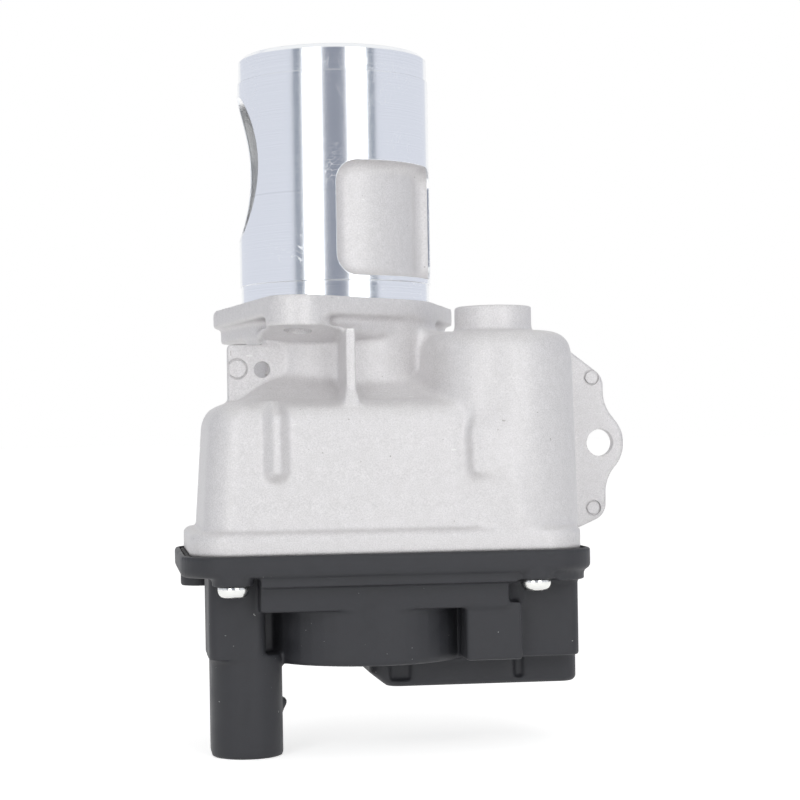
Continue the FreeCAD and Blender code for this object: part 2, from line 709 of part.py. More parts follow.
def gear_box():
    """Gear chamber's outside: shoulders that slope out of the neck, then drafted walls"""
    left, front, back = size("box_left"), size("box_front"), size("box_back")
    right, draft = size("motor_x") + 6, size("box_draft")
    band, top = size("band_top"), size("box_top")
    sections = [
        rounded_wire(rectangle_corners(size("neck_left"), size("neck_right"), size("neck_front"),
                                       size("neck_back"), 5), top + 4.5),
        rounded_wire(rectangle_corners(left + 3 * draft, right, front + 1.3 * draft, back - 0.4 * draft, 7), top - 3),
        rounded_wire(rectangle_corners(left + 0.65 * draft, right, front + 0.6 * draft, back - 0.2 * draft, 9), top - 11),
        rounded_wire(rectangle_corners(left, right, front, back, size("box_corner")), band - 0.1),
    ]
    return Part.makeLoft(sections, True, True)


def motor_bulge():
    """Barrel that holds the motor, joined to the rear wall, with a boss over the motor's hub"""
    radius = size("can_dia") / 2 + size("motor_wall")
    rear = (size("motor_x") + 3.4, size("box_back") - 14.5, 14.5)
    outline = belt_wire([(size("motor_x"), size("motor_y"), radius), rear], size("band_top") - 0.1)
    barrel = prism(outline, size("motor_top") - size("band_top") + 0.1)
    barrel = round_level(barrel, size("motor_top"), size("motor_shoulder"))
    boss = cylinder(size("motor_x"), size("motor_y"), size("boss_dia") / 2, size("motor_top") - 5, size("boss_top"))
    return [barrel, round_level(boss, size("boss_top"), 1.5)]


def upright_plate(corners, y, thickness):
    """Plate whose outline is drawn in X and Z"""
    plate = prism(rounded_wire([(x, z, radius) for x, z, radius in corners], 0), thickness)
    plate.rotate(Vector(), Vector(1, 0, 0), 90)
    plate.translate(vec(0, y + thickness / 2, 0))
    return plate


def ear():
    """Side ear that carries the harness clip: outline swells round its hole"""
    x, z, root = size("ear_hole_x"), size("ear_hole_z"), size("motor_x") + 12
    corners = [
        (root, z - 22.0, 1), (x - 6, z - 22.5, 1), (x + 2.2, z - 19.4, 4.4), (x + 2.2, z - 9.0, 3), (x + 7.1, z - 3.6, 4.5),
        (x + 7.1, z + 3.6, 4.5), (x + 1.4, z + 9.6, 3), (x + 1.3, z + 17.6, 3.6), (x - 8, z + 24.8, 2), (root, z + 24.8, 1),
    ]
    return upright_plate(corners, size("ear_y"), size("ear_thickness"))


def tab():
    x, z = size("tab_hole_x"), size("tab_hole_z")
    corners = [(x - 10, z - 13, 1), (x + 6, z - 6, 1), (x + 6, z + 13, 1), (x - 10, z + 13, 1)]
    return upright_plate(corners, size("ear_y"), size("ear_thickness"))


def strake():
    """Thin rib down the front wall, with sloping sides"""
    x, half, front = size("strake_x"), size("strake_width") / 2, size("box_front")
    sections = []
    for z, tip in ((size("strake_low"), front - size("strake_height") + 1.5), (size("box_top") - 1, front + 2)):
        outline = [vec(x - half, front + 5, z), vec(x - 0.8, tip, z), vec(x + 0.8, tip, z), vec(x + half, front + 5, z)]
        sections.append(Part.makePolygon(outline + outline[:1]))
    return Part.makeLoft(sections, True, True)


def band_corners(grow=0.0):
    return rectangle_corners(size("band_left") - grow, size("band_right") + grow, size("band_front") - grow,
                             size("band_back") + grow, size("band_corner") + grow)


def gear_cavity():
    wall, deck = size("wall"), size("deck")
    low = rectangle_corners(size("box_left") + wall, size("motor_x") - 19.6, size("box_front") + wall,
                            size("box_back") - wall, 6)
    high = rectangle_corners(size("box_left") + 10, size("motor_x") - 20, size("box_front") + 7, size("box_back") - 5, 6)
    return Part.makeLoft([rounded_wire(low, deck - 1), rounded_wire(high, spring_ends()[1])], True, True)


def housing_drillings():
    deck, fit = size("deck"), size("motor_fit") / 3
    cuts = [
        cylinder(0, 0, size("tube_od") / 2, -size("tube_seat"), 1),
        cylinder(0, 0, size("guide_od") / 2, size("guide_top") - size("guide_length") - 5,
                 size("guide_top") + size("seal_height")),
        cylinder(0, 0, size("stem_dia") / 2 + 0.6, size("guide_top"), 1),
        cylinder(MOTOR.x, MOTOR.y, size("can_dia") / 2 + fit, deck - 1, size("can_top") + fit),
        cylinder(MOTOR.x, MOTOR.y, size("can_boss_dia") / 2 + fit, deck, size("can_top") + size("can_boss_height") + fit),
        cylinder(OUTPUT.x, OUTPUT.y, size("output_axle_dia") / 2, size("hub_top") - 1,
                 size("hub_top") + size("axle_grip") + 1.2),
    ]
    for name in ("front_bolt", "left_bolt", "right_bolt"):
        cuts.append(cylinder(size(name + "_x"), size(name + "_y"), size("bolt_hole_dia") / 2, -size("flange_depth") - 12, 1))
    for x, y in screw_places():
        cuts.append(cylinder(x, y, size("screw_dia") / 2, deck - 1, deck + screw_reach()))
    for x, z, hole in ((size("ear_hole_x"), size("ear_hole_z"), size("ear_hole_dia")),
                       (size("tab_hole_x"), size("tab_hole_z"), size("tab_hole_dia"))):
        cuts.append(Part.makeCylinder(hole / 2, 10, vec(x, size("ear_y") - 5, z), Vector(0, 1, 0)))
    return cuts


def screw_seat():
    return size("deck") - size("gasket_height") - size("rim_height") - size("screw_sink")


def screw_reach():
    """How far a cover screw reaches above the deck"""
    return screw_seat() + size("screw_length") - size("deck")


def valve_housing():
    neck = prism(rounded_wire(rectangle_corners(size("neck_left"), size("neck_right"), size("neck_front"),
                                                size("neck_back"), 5), size("box_top")), -size("box_top") - 1)
    front_rib = block(size("rib_left"), size("rib_right"), size("rib_front"), size("neck_front") + 2,
                      size("box_top") - 2, -1)
    band = prism(rounded_wire(band_corners(), size("deck")), size("band_top") - size("deck"))
    band = round_level(band, size("band_top"), 1.2)
    body = neck.fuse(flange() + motor_bulge() + [gear_box(), front_rib, band, ear(), tab(), strake()])
    body = body.cut(gear_cavity())
    boss_radius = size("output_axle_dia") / 2 + 2
    posts = [cylinder(OUTPUT.x, OUTPUT.y, boss_radius, size("hub_top") + 0.4, spring_ends()[1] + 1)]
    within = prism(rounded_wire(band_corners(), size("deck")), screw_reach() + 3)
    for x, y in screw_places():
        post = cylinder(x, y, size("screw_dia") / 2 + 1.8, size("deck"), size("deck") + screw_reach() + 2)
        posts.append(post.common(within))
    body = body.fuse(posts).removeSplitter()
    return made_shape("valve_housing", body.cut(housing_drillings()))


# Gear cover with its connector


def cover_outline(inset, z):
    return rounded_wire(band_corners(size("rim_margin") - inset), z)


def cover_levels():
    top = size("deck") - size("gasket_height")
    rim = top - size("rim_height")
    return top, rim, rim - size("step_height")


def stadium_wire(x, y, width, depth, z):
    half = width / 2
    return rounded_wire(rectangle_corners(x - half, x + half, y - depth / 2, y + depth / 2, half - 0.05), z)


def plug_shapes():
    x, y = size("plug_x"), size("plug_y")
    half, depth = size("plug_width") / 2, size("plug_depth") / 2
    base_low, low = size("plug_base_low"), size("plug_low")
    base = prism(rounded_wire(rectangle_corners(x - half - 0.6, x + half - 0.4, y - depth, y + depth, 3), base_low),
                 cover_levels()[1] - base_low)
    shroud = prism(stadium_wire(x, y, size("plug_width"), size("plug_depth"), low), base_low - low + 1)
    latch = block(x + half - 1, x + half + 1.1, y - 3, y + 3, low + 13.2, low + 16.4)
    return [base, shroud, latch]


def cover_outside():
    top, rim, step = cover_levels()
    tray_low = size("tray_low")
    rim_plate = round_level(prism(cover_outline(0, rim), top - rim), rim, 0.8)
    step_plate = prism(cover_outline(size("step_inset"), step), rim - step + 1)
    tray = prism(cover_outline(size("tray_inset"), tray_low), step - tray_low + 1)
    for x, y in screw_places():
        tray = tray.cut(cylinder(x, y, size("screw_boss_dia") / 2 + 1.2, tray_low - 1, screw_seat()))
        step_plate = step_plate.cut(cylinder(x, y, size("screw_head_dia") / 2 + 0.6, step - 1, screw_seat()))
    dome = cylinder(OUTPUT.x, OUTPUT.y, size("dome_radius"), size("dome_low"), tray_low + 1)
    dome = round_level(dome, size("dome_low"), size("dome_round"))
    block_right = size("sump_right")
    front_block = prism(rounded_wire([
        (size("block_left"), size("block_front"), 1), (size("block_left") + 13.2, size("block_front"), 1),
        (size("block_left") + 14.2, size("block_front") + 6, 1), (block_right, size("block_front") + 6, 6),
        (block_right, size("sump_front") + 4, 1), (size("block_left"), size("sump_front") + 4, 1)],
        size("block_low")), tray_low - size("block_low") + 1)
    front_block = round_level(front_block, size("block_low"), 0.9)
    sump = prism(rounded_wire(rectangle_corners(size("sump_left"), block_right, size("sump_front"),
                                                size("sump_back"), 4), size("sump_low")), tray_low - size("sump_low") + 1)
    sump = round_level(sump, size("sump_low"), 2.5)
    return rim_plate.fuse([step_plate, tray, dome, front_block, sump] + plug_shapes()).removeSplitter()


def cover_hollows():
    wall, top = size("cover_wall"), cover_levels()[0]
    tray_floor = size("tray_low") + wall
    depth = top + 1 - tray_floor
    left, right = size("block_left") + wall, size("band_right") - size("tray_inset") - wall
    tray = prism(rounded_wire(rectangle_corners(
        size("plug_x") + size("plug_width") / 2 + 1.4, right,
        size("band_front") + size("tray_inset") + wall - 1, size("band_back") - 9.0, 4), tray_floor), depth)
    dome = cylinder(OUTPUT.x, OUTPUT.y, size("dome_radius") - wall, size("dome_low") + wall, tray_floor + 1)
    front_block = prism(rounded_wire([
        (left, size("block_front") + wall, 1), (left + 9.4, size("block_front") + wall, 1),
        (left + 10.4, size("block_front") + 6 + wall, 1), (right, size("block_front") + 6 + wall, 3.6),
        (right, size("sump_front") + 6, 1), (left, size("sump_front") + 6, 1)],
        size("block_low") + wall), tray_floor + 1 - size("block_low") - wall)
    sump = prism(rounded_wire(rectangle_corners(size("sump_left") + wall, right, size("sump_front") + wall,
                                                size("sump_back") - wall, 2), size("sump_low") + wall),
                 tray_floor + 1 - size("sump_low") - wall)
    for x, y in screw_places():
        keep = cylinder(x, y, size("screw_boss_dia") / 2 + 1.2 + wall, tray_floor - 1, top + 2)
        tray, front_block = tray.cut(keep), front_block.cut(keep)
    cap_low = can_low() - size("end_cap_height")
    cap = cylinder(MOTOR.x, MOTOR.y, size("can_dia") / 2 + size("motor_fit"), cap_low - size("motor_fit"), top + 1)
    return [tray, dome, front_block, sump, cap]


def pin_places():
    count = int(size("pin_count"))
    return [size("plug_y") + (index - (count - 1) / 2) * size("pin_pitch") for index in range(count)]


def pin_block(y, low, high):
    half = size("pin_size") / 2
    return block(size("plug_x") - half, size("plug_x") + half, y - half, y + half, low, high)


def board_top():
    return size("hub_low") - size("magnet_height") - 0.4


def gear_cover():
    wall = size("cover_wall")
    body = cover_outside().cut(cover_hollows())
    boss = cylinder(MIDDLE.x, MIDDLE.y, size("middle_axle_dia") / 2 + 2.2, size("sump_low") + 1, size("large_low") - 0.4)
    board_low = board_top() - size("board_height")
    pad = block(OUTPUT.x - 4, OUTPUT.x + 4, OUTPUT.y - 4, OUTPUT.y + 4, size("dome_low") + 1, board_low)
    body = body.fuse([boss, pad]).removeSplitter()
    socket = prism(stadium_wire(size("plug_x"), size("plug_y"), size("plug_width") - 2 * size("plug_wall"),
                                size("plug_depth") - 2 * size("plug_wall"), size("plug_low") - 1),
                   size("plug_floor") - size("plug_low") + 1)
    cuts = [socket, cylinder(MIDDLE.x, MIDDLE.y, size("middle_axle_dia") / 2, size("sump_low") + wall, size("large_low"))]
    cuts += [pin_block(y, size("plug_floor") - 1, size("plug_floor") + 3) for y in pin_places()]
    cuts += [cylinder(x, y, size("screw_dia") / 2 + 0.25, size("plug_base_low"), size("deck")) for x, y in screw_places()]
    return made_shape("gear_cover", body.cut(cuts))


def connector_pins():
    pins = [pin_block(y, size("pin_low"), size("plug_floor") + 3) for y in pin_places()]
    return made_shape("connector_pins", Part.makeCompound(pins))


def circuit_board():
    half_length, half_width, top = size("board_length") / 2, size("board_width") / 2, board_top()
    board = block(OUTPUT.x - half_length, OUTPUT.x + half_length, OUTPUT.y - half_width, OUTPUT.y + half_width,
                  top - size("board_height"), top)
    return made_shape("circuit_board", board)


def cover_gasket():
    deck, height = size("deck"), size("gasket_height")
    ring = prism(rounded_wire(band_corners(-0.6), deck - height), height)
    hollow = rectangle_corners(size("band_left") + 6.5, size("band_right") - 4.6, size("band_front") + 5.4,
                               size("band_back") - 6.0, 5)
    ring = ring.cut(prism(rounded_wire(hollow, deck - height - 1), height + 2))
    eyes = [cylinder(x, y, size("screw_dia") / 2 + 1.8, deck - height, deck) for x, y in screw_places()]
    holes = [cylinder(x, y, size("screw_dia") / 2 + 0.25, deck - 5, deck + 1) for x, y in screw_places()]
    return made_shape("cover_gasket", ring.fuse(eyes).removeSplitter().cut(holes))


def cover_screws():
    seat, radius = screw_seat(), size("screw_head_dia") / 2
    screws = []
    for x, y in screw_places():
        head = cylinder(x, y, radius, seat - size("screw_head_height"), seat)
        head = round_level(head, seat - size("screw_head_height"), 1.1)
        shank = cylinder(x, y, size("screw_dia") / 2, seat - 1, seat + size("screw_length"))
        socket = cylinder(x, y, 1.6, seat - size("screw_head_height") - 1, seat - size("screw_head_height") + 1.4)
        screws.append(head.fuse(shank).cut(socket))
    return made_shape("cover_screws", Part.makeCompound(screws))


def intermediate_axle():
    low, high = size("sump_low") + size("cover_wall"), size("output_low") + size("output_face") + 1.4
    return made_shape("intermediate_axle", cylinder(MIDDLE.x, MIDDLE.y, size("middle_axle_dia") / 2, low, high))


MAKERS = [
    valve_housing, valve_tube, seat_ring, stem_guide, stem_seal, motor_can, motor_end_cap, motor_bushes,
    motor_magnets, carbon_brushes, output_axle, intermediate_axle, gear_cover, connector_pins, circuit_board,
    cover_gasket, cover_screws,
    valve_head, valve_stem, spring_retainer, return_spring, roller_yoke, roller_pin, cam_roller,
    output_gear, output_bush, sensor_magnet, intermediate_gear,
    motor_shaft, motor_pinion, rotor_core, rotor_windings, commutator,
]

NODES = [make() for make in MAKERS]
doc.recompute()

for item in doc.Objects:
    faults = [state for state in item.State if state in ("Invalid", "Error")]
    if faults:
        raise SystemExit("%s: %s" % (item.Label, faults))
for node in NODES:
    if node.Shape.isNull() or not node.Shape.isValid() or not node.Shape.Solids:
        raise SystemExit("%s has no valid shape" % node.Label)

os.makedirs("parts", exist_ok=True)
for node in NODES:
    node.Shape.exportStep("parts/%s.step" % node.Label)
    box = node.Shape.BoundBox
    print("%-18s %2d solid(s), volume %9.1f, x %.1f to %.1f, y %.1f to %.1f, z %.1f to %.1f" % (
        node.Label, len(node.Shape.Solids), node.Shape.Volume,
        box.XMin, box.XMax, box.YMin, box.YMax, box.ZMin, box.ZMax))
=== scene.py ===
# %% [markdown]
# An exhaust gas recirculation valve, dressed for its picture.
# The imported model brings every piece at its real size and place. This script adds the camera,
# a small photo studio, the soft forms of the casting and the finish of every piece.
# The first cell loads the model and keeps its box, whose lowest point sets the floor's height.

# %% Load the model
import bmesh
import bpy
from math import cos, pi, radians, sin, tan
from mathutils import Matrix, Vector


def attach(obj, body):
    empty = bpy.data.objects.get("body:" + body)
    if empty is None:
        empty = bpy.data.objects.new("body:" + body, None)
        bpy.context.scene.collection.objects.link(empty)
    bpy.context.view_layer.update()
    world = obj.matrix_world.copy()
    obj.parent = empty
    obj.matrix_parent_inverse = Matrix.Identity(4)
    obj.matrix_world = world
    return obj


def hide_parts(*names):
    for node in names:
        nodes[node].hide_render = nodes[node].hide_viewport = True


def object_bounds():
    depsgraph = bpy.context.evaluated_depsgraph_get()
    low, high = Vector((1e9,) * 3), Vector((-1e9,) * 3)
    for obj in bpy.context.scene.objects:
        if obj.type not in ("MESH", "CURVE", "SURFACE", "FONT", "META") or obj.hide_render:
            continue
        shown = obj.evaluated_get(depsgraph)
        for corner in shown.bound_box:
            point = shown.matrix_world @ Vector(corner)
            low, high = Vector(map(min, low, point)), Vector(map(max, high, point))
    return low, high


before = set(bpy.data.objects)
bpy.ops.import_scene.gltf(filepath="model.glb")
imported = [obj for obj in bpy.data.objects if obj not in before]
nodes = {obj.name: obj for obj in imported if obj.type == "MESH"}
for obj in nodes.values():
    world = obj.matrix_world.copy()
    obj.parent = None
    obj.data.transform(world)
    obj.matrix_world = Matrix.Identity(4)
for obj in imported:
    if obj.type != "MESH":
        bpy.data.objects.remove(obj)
cad_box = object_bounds()
MM = 0.001

# %% [markdown]
# The camera. The valve was photographed from half a metre, a little to the left of square on,
# with the lens level with the gear chamber. Moving the camera along one line of sight keeps
# this easy to read: a yaw, a distance, a height, and a small roll because the part leaned.
# The picture's horizon lies a twentieth of its width under the middle, which is a lens shift.

# %% Camera
CAMERA_YAW = radians(8)
CAMERA_ROLL = radians(0.9)
CAMERA_DISTANCE = 537 * MM
CAMERA_SIDE = 16.35 * MM
CAMERA_HEIGHT = -35.8 * MM
LENS = 91.8
HORIZON_SHIFT = 0.05
CAMERA_SEES = 100

sight = Vector((sin(CAMERA_YAW), cos(CAMERA_YAW), 0))
right = Vector((cos(CAMERA_YAW), -sin(CAMERA_YAW), 0))
stand = sight * -CAMERA_DISTANCE + right * CAMERA_SIDE + Vector((0, 0, CAMERA_HEIGHT))
camera_data = bpy.data.cameras.new("camera")
camera_data.lens = LENS
camera_data.shift_y = HORIZON_SHIFT
camera_data.clip_end = CAMERA_SEES
camera = bpy.data.objects.new("camera", camera_data)
camera.matrix_world = (
    Matrix.Translation(stand)
    @ Matrix.Rotation(-CAMERA_YAW, 4, "Z")
    @ Matrix.Rotation(radians(90), 4, "X")
    @ Matrix.Rotation(-CAMERA_ROLL, 4, "Z")
)
bpy.context.scene.collection.objects.link(camera)
bpy.context.scene.camera = camera
print("camera stands at", [round(value, 4) for value in stand])

# %% [markdown]
# A material is a small tree of nodes. One helper adds a node, sets its settings and joins its
# inputs, so that each recipe below reads as a short list. An input is given a number, or the
# output of another node.

# %% Node helper
def add_node(material, kind, inputs, **settings):
    """A shader node whose inputs hold numbers or come from other nodes."""
    tree = material.node_tree
    made = tree.nodes.new("ShaderNode" + kind)
    for name, value in settings.items():
        setattr(made, name, value)
    for socket, value in inputs.items():
        if isinstance(value, bpy.types.NodeSocket):
            tree.links.new(value, made.inputs[socket])
        else:
            made.inputs[socket].default_value = value
    return made


def calculate(material, operation, first, second=0.0):
    """One step of arithmetic on values or numbers."""
    return add_node(material, "Math", {0: first, 1: second}, operation=operation).outputs["Value"]


print("node helper ready")

# %% [markdown]
# The studio. Bright metal shows what stands round it, so the lights are chosen by what the tube
# should mirror: two tall soft boxes with a dull gap between them where the photographer stands,
# a thin grey gap outside each, and pale walls further round. Each card is a flat sheet placed
# by its angle round the valve, seen from the valve, with 0 degrees towards the camera.

# %% Soft boxes
STUDIO_RADIUS = 0.95
STUDIO_HEIGHT = 1.5
STUDIO_MIDDLE = 0.12
SOFTBOX_BRIGHTNESS = 1.9


def studio_place(angle, radius, height):
    """A point on a circle round the valve. Positive angles are on the picture's right."""
    turned = Matrix.Rotation(radians(angle), 3, "Z")
    return turned @ (sight * -radius) + Vector((0, 0, height))


def softbox(name, start, end, brightness):
    """A tall rectangular lamp between two angles, of the given brightness seen head on."""
    width = 2 * STUDIO_RADIUS * sin(radians(end - start) / 2)
    lamp = bpy.data.lights.new(name, "AREA")
    lamp.shape = "RECTANGLE"
    lamp.size = width
    lamp.size_y = STUDIO_HEIGHT
    lamp.energy = brightness * pi * width * STUDIO_HEIGHT
    box = bpy.data.objects.new(name, lamp)
    place = studio_place((start + end) / 2, STUDIO_RADIUS, STUDIO_MIDDLE)
    box.location = place
    aim = Vector((-place.x, -place.y, 0))
    box.rotation_euler = aim.to_track_quat("-Z", "Y").to_euler()
    box.visible_camera = False
    bpy.context.scene.collection.objects.link(box)
    return box


left_box = softbox("left_softbox", -33.5, -11.7, SOFTBOX_BRIGHTNESS)
right_box = softbox("right_softbox", 19, 42, SOFTBOX_BRIGHTNESS)
print("soft boxes", left_box.data.energy, right_box.data.energy)

# %% [markdown]
# Grey cards. A mirror-like tube with only white round it looks like paper, so a photographer
# stands grey cards beside the lens and pale walls further round. Here they are thin upright
# sheets that the camera looks through. Mirror rays see each card's own grey, and all other
# rays see the even light of the room, so a card never darkens the dull surfaces.

# %% Cards
CARD_RADIUS = 1.15
CARD_LOW = -0.7
CARD_TOP = 1.1
CARD_STEP = 6
ROOM_LIGHT = 0.45


def plain_colour(name, colour):
    """A matte paint for the things round the valve."""
    paint = bpy.data.materials.new(name)
    paint.use_nodes = True
    shader = paint.node_tree.nodes["Principled BSDF"]
    shader.inputs["Base Color"].default_value = (*colour, 1)
    shader.inputs["Roughness"].default_value = 1
    shader.inputs["Specular IOR Level"].default_value = 0
    return paint


def lit_card(name, colour):
    """A glowing sheet: mirror rays see its colour, other rays the light of the room."""
    paint = bpy.data.materials.new(name)
    paint.use_nodes = True
    tree = paint.node_tree
    mirrored = add_node(paint, "LightPath", {}).outputs["Is Glossy Ray"]
    seen = add_node(paint, "Mix", {"Factor": mirrored}, data_type="RGBA")
    room, own = [socket for socket in seen.inputs if socket.type == "RGBA"]
    room.default_value = (ROOM_LIGHT, ROOM_LIGHT, ROOM_LIGHT, 1)
    own.default_value = (*colour, 1)
    shown = [socket for socket in seen.outputs if socket.type == "RGBA"][0]
    glow = add_node(paint, "Emission", {"Color": shown})
    tree.nodes.remove(tree.nodes["Principled BSDF"])
    tree.links.new(glow.outputs["Emission"], tree.nodes["Material Output"].inputs["Surface"])
    return paint


def card(name, start, end, paint):
    """An upright curved sheet between two angles round the valve."""
    mesh = bmesh.new()
    foot = mesh.verts.new(studio_place(start, CARD_RADIUS, CARD_LOW))
    head = mesh.verts.new(studio_place(start, CARD_RADIUS, CARD_TOP))
    edge = mesh.edges.new((foot, head))
    bmesh.ops.spin(mesh, geom=[foot, head, edge], cent=(0, 0, 0), axis=(0, 0, 1),
                   angle=radians(end - start), steps=max(2, round((end - start) / CARD_STEP)))
    data = bpy.data.meshes.new(name)
    mesh.to_mesh(data)
    mesh.free()
    data.materials.append(paint)
    sheet = bpy.data.objects.new(name, data)
    sheet.visible_camera = False
    sheet.visible_shadow = False
    bpy.context.scene.collection.objects.link(sheet)
    return sheet


lens_card = lit_card("lens_card", (0.27, 0.29, 0.35))
gap_card = lit_card("gap_card", (0.24, 0.27, 0.33))
wall_card = lit_card("wall_card", (0.77, 0.79, 0.86))
card("card_lens", -11.7, 19, lens_card)
card("card_left_gap", -46, -33.5, gap_card)
card("card_right_gap", 42, 53, gap_card)
card("wall_left", -150, -46, wall_card)
card("wall_right", 53, 150, wall_card)
print("cards stand", CARD_RADIUS, "m from the valve")

# %% [markdown]
# The background. The floor is a pale sheet under the plug, the lowest point of the valve. It
# reaches so far that its end meets the white of the world at the horizon. Camera and mirror
# rays that miss everything see white, while the room's own light on the valve stays soft, so
# the white behind it never washes out the metal.

# %% Floor and world
FLOOR_SIZE = 90.0
FLOOR_PAINT = (0.93, 0.93, 0.93)
FLOOR_GLOW = 0.66


def background_rays(material):
    """1 for rays that see the background: from the camera, or by reflection or through glass."""
    path = add_node(material, "LightPath", {})
    total = path.outputs["Is Camera Ray"]
    for ray in ("Is Glossy Ray", "Is Transmission Ray"):
        total = calculate(material, "MAXIMUM", total, path.outputs[ray])
    return total


floor_height = cad_box[0][2]
mesh = bmesh.new()
bmesh.ops.create_grid(mesh, x_segments=1, y_segments=1, size=FLOOR_SIZE / 2)
bmesh.ops.translate(mesh, vec=(0, 0, floor_height), verts=mesh.verts)
floor_data = bpy.data.meshes.new("floor")
mesh.to_mesh(floor_data)
mesh.free()
floor = bpy.data.objects.new("floor", floor_data)
bpy.context.scene.collection.objects.link(floor)

floor_paint = plain_colour("floor_paint", FLOOR_PAINT)
strength = calculate(floor_paint, "MULTIPLY", background_rays(floor_paint), FLOOR_GLOW)
glow = add_node(floor_paint, "Emission", {"Strength": strength})
painted = floor_paint.node_tree.nodes["Principled BSDF"].outputs["BSDF"]
both = add_node(floor_paint, "AddShader", {0: painted, 1: glow.outputs["Emission"]})
tree = floor_paint.node_tree
tree.links.new(both.outputs["Shader"], tree.nodes["Material Output"].inputs["Surface"])
floor_data.materials.append(floor_paint)

world = bpy.data.worlds.new("studio")
world.use_nodes = True
bpy.context.scene.world = world
level = add_node(world, "MapRange", {"Value": background_rays(world), "To Min": ROOM_LIGHT,
                                     "To Max": 1.0})
sky = world.node_tree.nodes["Background"]
sky.inputs["Color"].default_value = (1, 1, 1, 1)
world.node_tree.links.new(level.outputs["Result"], sky.inputs["Strength"])
bpy.context.scene.view_settings.view_transform = "Standard"
print("floor at", round(floor_height, 4))

# %% [markdown]
# The casting. Molten aluminium leaves no hard inside corner: every rib, lobe and wall runs into
# its neighbour with a soft root. One way to draw that is to fillet every edge by hand. Here the
# simple forms are only pushed into each other, fused by a voxel remesh and then smoothed, which
# rounds all the roots at once, as the die does. The big forms are smoothed most, and the
# flange, ribs and edges join them later, so that they stay crisp.

# %% Form helpers
RING_POINTS = 48
SOFTENING = 0.5


def ring(mesh, x, y, radius, z):
    """The points of a level circle in millimetres, or one point where its radius is nought."""
    if radius == 0:
        return [mesh.verts.new(Vector((x, y, z)) * MM)]
    made = bmesh.ops.create_circle(mesh, segments=RING_POINTS, radius=radius * MM,
                                   matrix=Matrix.Translation(Vector((x, y, z)) * MM))
    return made["verts"]


def stretched(rings):
    """A closed form stretched over level circles of x, y, radius and height."""
    mesh = bmesh.new()
    for place in rings:
        ring(mesh, *place)
    hull = bmesh.ops.convex_hull(mesh, input=mesh.verts[:])
    spare = [item for item in hull["geom_interior"] + hull["geom_unused"]
             if isinstance(item, bmesh.types.BMVert) and item.is_valid]
    bmesh.ops.delete(mesh, geom=list(set(spare)), context="VERTS")
    bmesh.ops.recalc_face_normals(mesh, faces=mesh.faces)
    return mesh


def faceted(points):
    """A closed form stretched over single points of x, y and height."""
    return stretched([(x, y, 0, z) for x, y, z in points])


def two_levels(circles, low, top):
    """A closed form over circles that stand at two heights."""
    return stretched([(x, y, radius, z) for z in (low, top) for x, y, radius in circles])


def column(x, y, radius, low, top):
    """A round bar, also used as a drill."""
    return two_levels([(x, y, radius)], low, top)


def corner_rings(left, right, front, back, radius, z):
    """The four corner circles of a rounded rectangle."""
    return [(x, y, radius, z) for x in (left + radius, right - radius)
            for y in (front + radius, back - radius)]


def slab(left, right, front, back, radius, low, top):
    """A plate with round corners."""
    return stretched(corner_rings(left, right, front, back, radius, low)
                     + corner_rings(left, right, front, back, radius, top))


def ridge(x, sections):
    """An upright ridge: each section has a height, half widths of crest and foot, and both depths."""
    return faceted([(x + side * half, y, z) for z, crest, foot, tip, base in sections
                    for half, y in ((crest, tip), (foot, base)) for side in (-1, 1)])


def upright_plate(corners, y, thickness):
    """A plate whose outline is drawn in x and z, with its own radius at each corner."""
    mesh = bmesh.new()
    outline = [mesh.verts.new(Vector((x, y - thickness / 2, z)) * MM) for x, z, _ in corners]
    mesh.faces.new(outline)
    for vert, (_, _, radius) in zip(outline, corners):
        edges = [edge.other_vert(vert).co - vert.co for edge in vert.link_edges]
        reach = radius * MM / tan(edges[0].angle(edges[1]) / 2)
        bmesh.ops.bevel(mesh, geom=[vert], offset=reach, segments=6, profile=0.5, material=-1,
                        affect="VERTICES")
    raised = bmesh.ops.extrude_face_region(mesh, geom=mesh.faces[:])
    verts = [item for item in raised["geom"] if isinstance(item, bmesh.types.BMVert)]
    bmesh.ops.translate(mesh, vec=(0, thickness * MM, 0), verts=verts)
    bmesh.ops.recalc_face_normals(mesh, faces=mesh.faces)
    return mesh


def gathered(name, forms):
    """One mesh object of several overlapping forms."""
    data = bpy.data.meshes.new(name)
    whole = bmesh.new()
    for form in forms:
        form.to_mesh(data)
        form.free()
        whole.from_mesh(data)
    whole.to_mesh(data)
    whole.free()
    piece = bpy.data.objects.new(name, data)
    bpy.context.scene.collection.objects.link(piece)
    return piece


def joined(name, pieces):
    """One mesh object of several others, which are used up."""
    whole = bmesh.new()
    for piece in pieces:
        whole.from_mesh(piece.data)
        bpy.data.objects.remove(piece)
    return gathered(name, [whole])


def evaluated(piece):
    """The piece with its modifiers made real."""
    bpy.context.view_layer.update()
    solid = piece.evaluated_get(bpy.context.evaluated_depsgraph_get())
    data = bpy.data.meshes.new_from_object(solid)
    piece.modifiers.clear()
    piece.data = data
    return piece


def fused(piece, voxel, passes):
    """Overlapping forms as one skin of the given fineness, smoothed a number of times."""
    skin = piece.modifiers.new("skin", "REMESH")
    skin.mode = "VOXEL"
    skin.voxel_size = voxel * MM
    soft = piece.modifiers.new("soft", "SMOOTH")
    soft.factor = SOFTENING
    soft.iterations = passes
    return evaluated(piece)


def combined(piece, tool, operation):
    """The piece joined to, or cut by, the tool, which is used up."""
    step = piece.modifiers.new("step", "BOOLEAN")
    step.operation = operation
    step.solver = "EXACT"
    step.object = tool
    evaluated(piece)
    bpy.data.objects.remove(tool)
    return piece


def one_tool(name, forms):
    """Overlapping forms joined exactly, one after another."""
    tool = gathered(name, forms[:1])
    for form in forms[1:]:
        combined(tool, gathered(name + "_part", [form]), "UNION")
    return tool


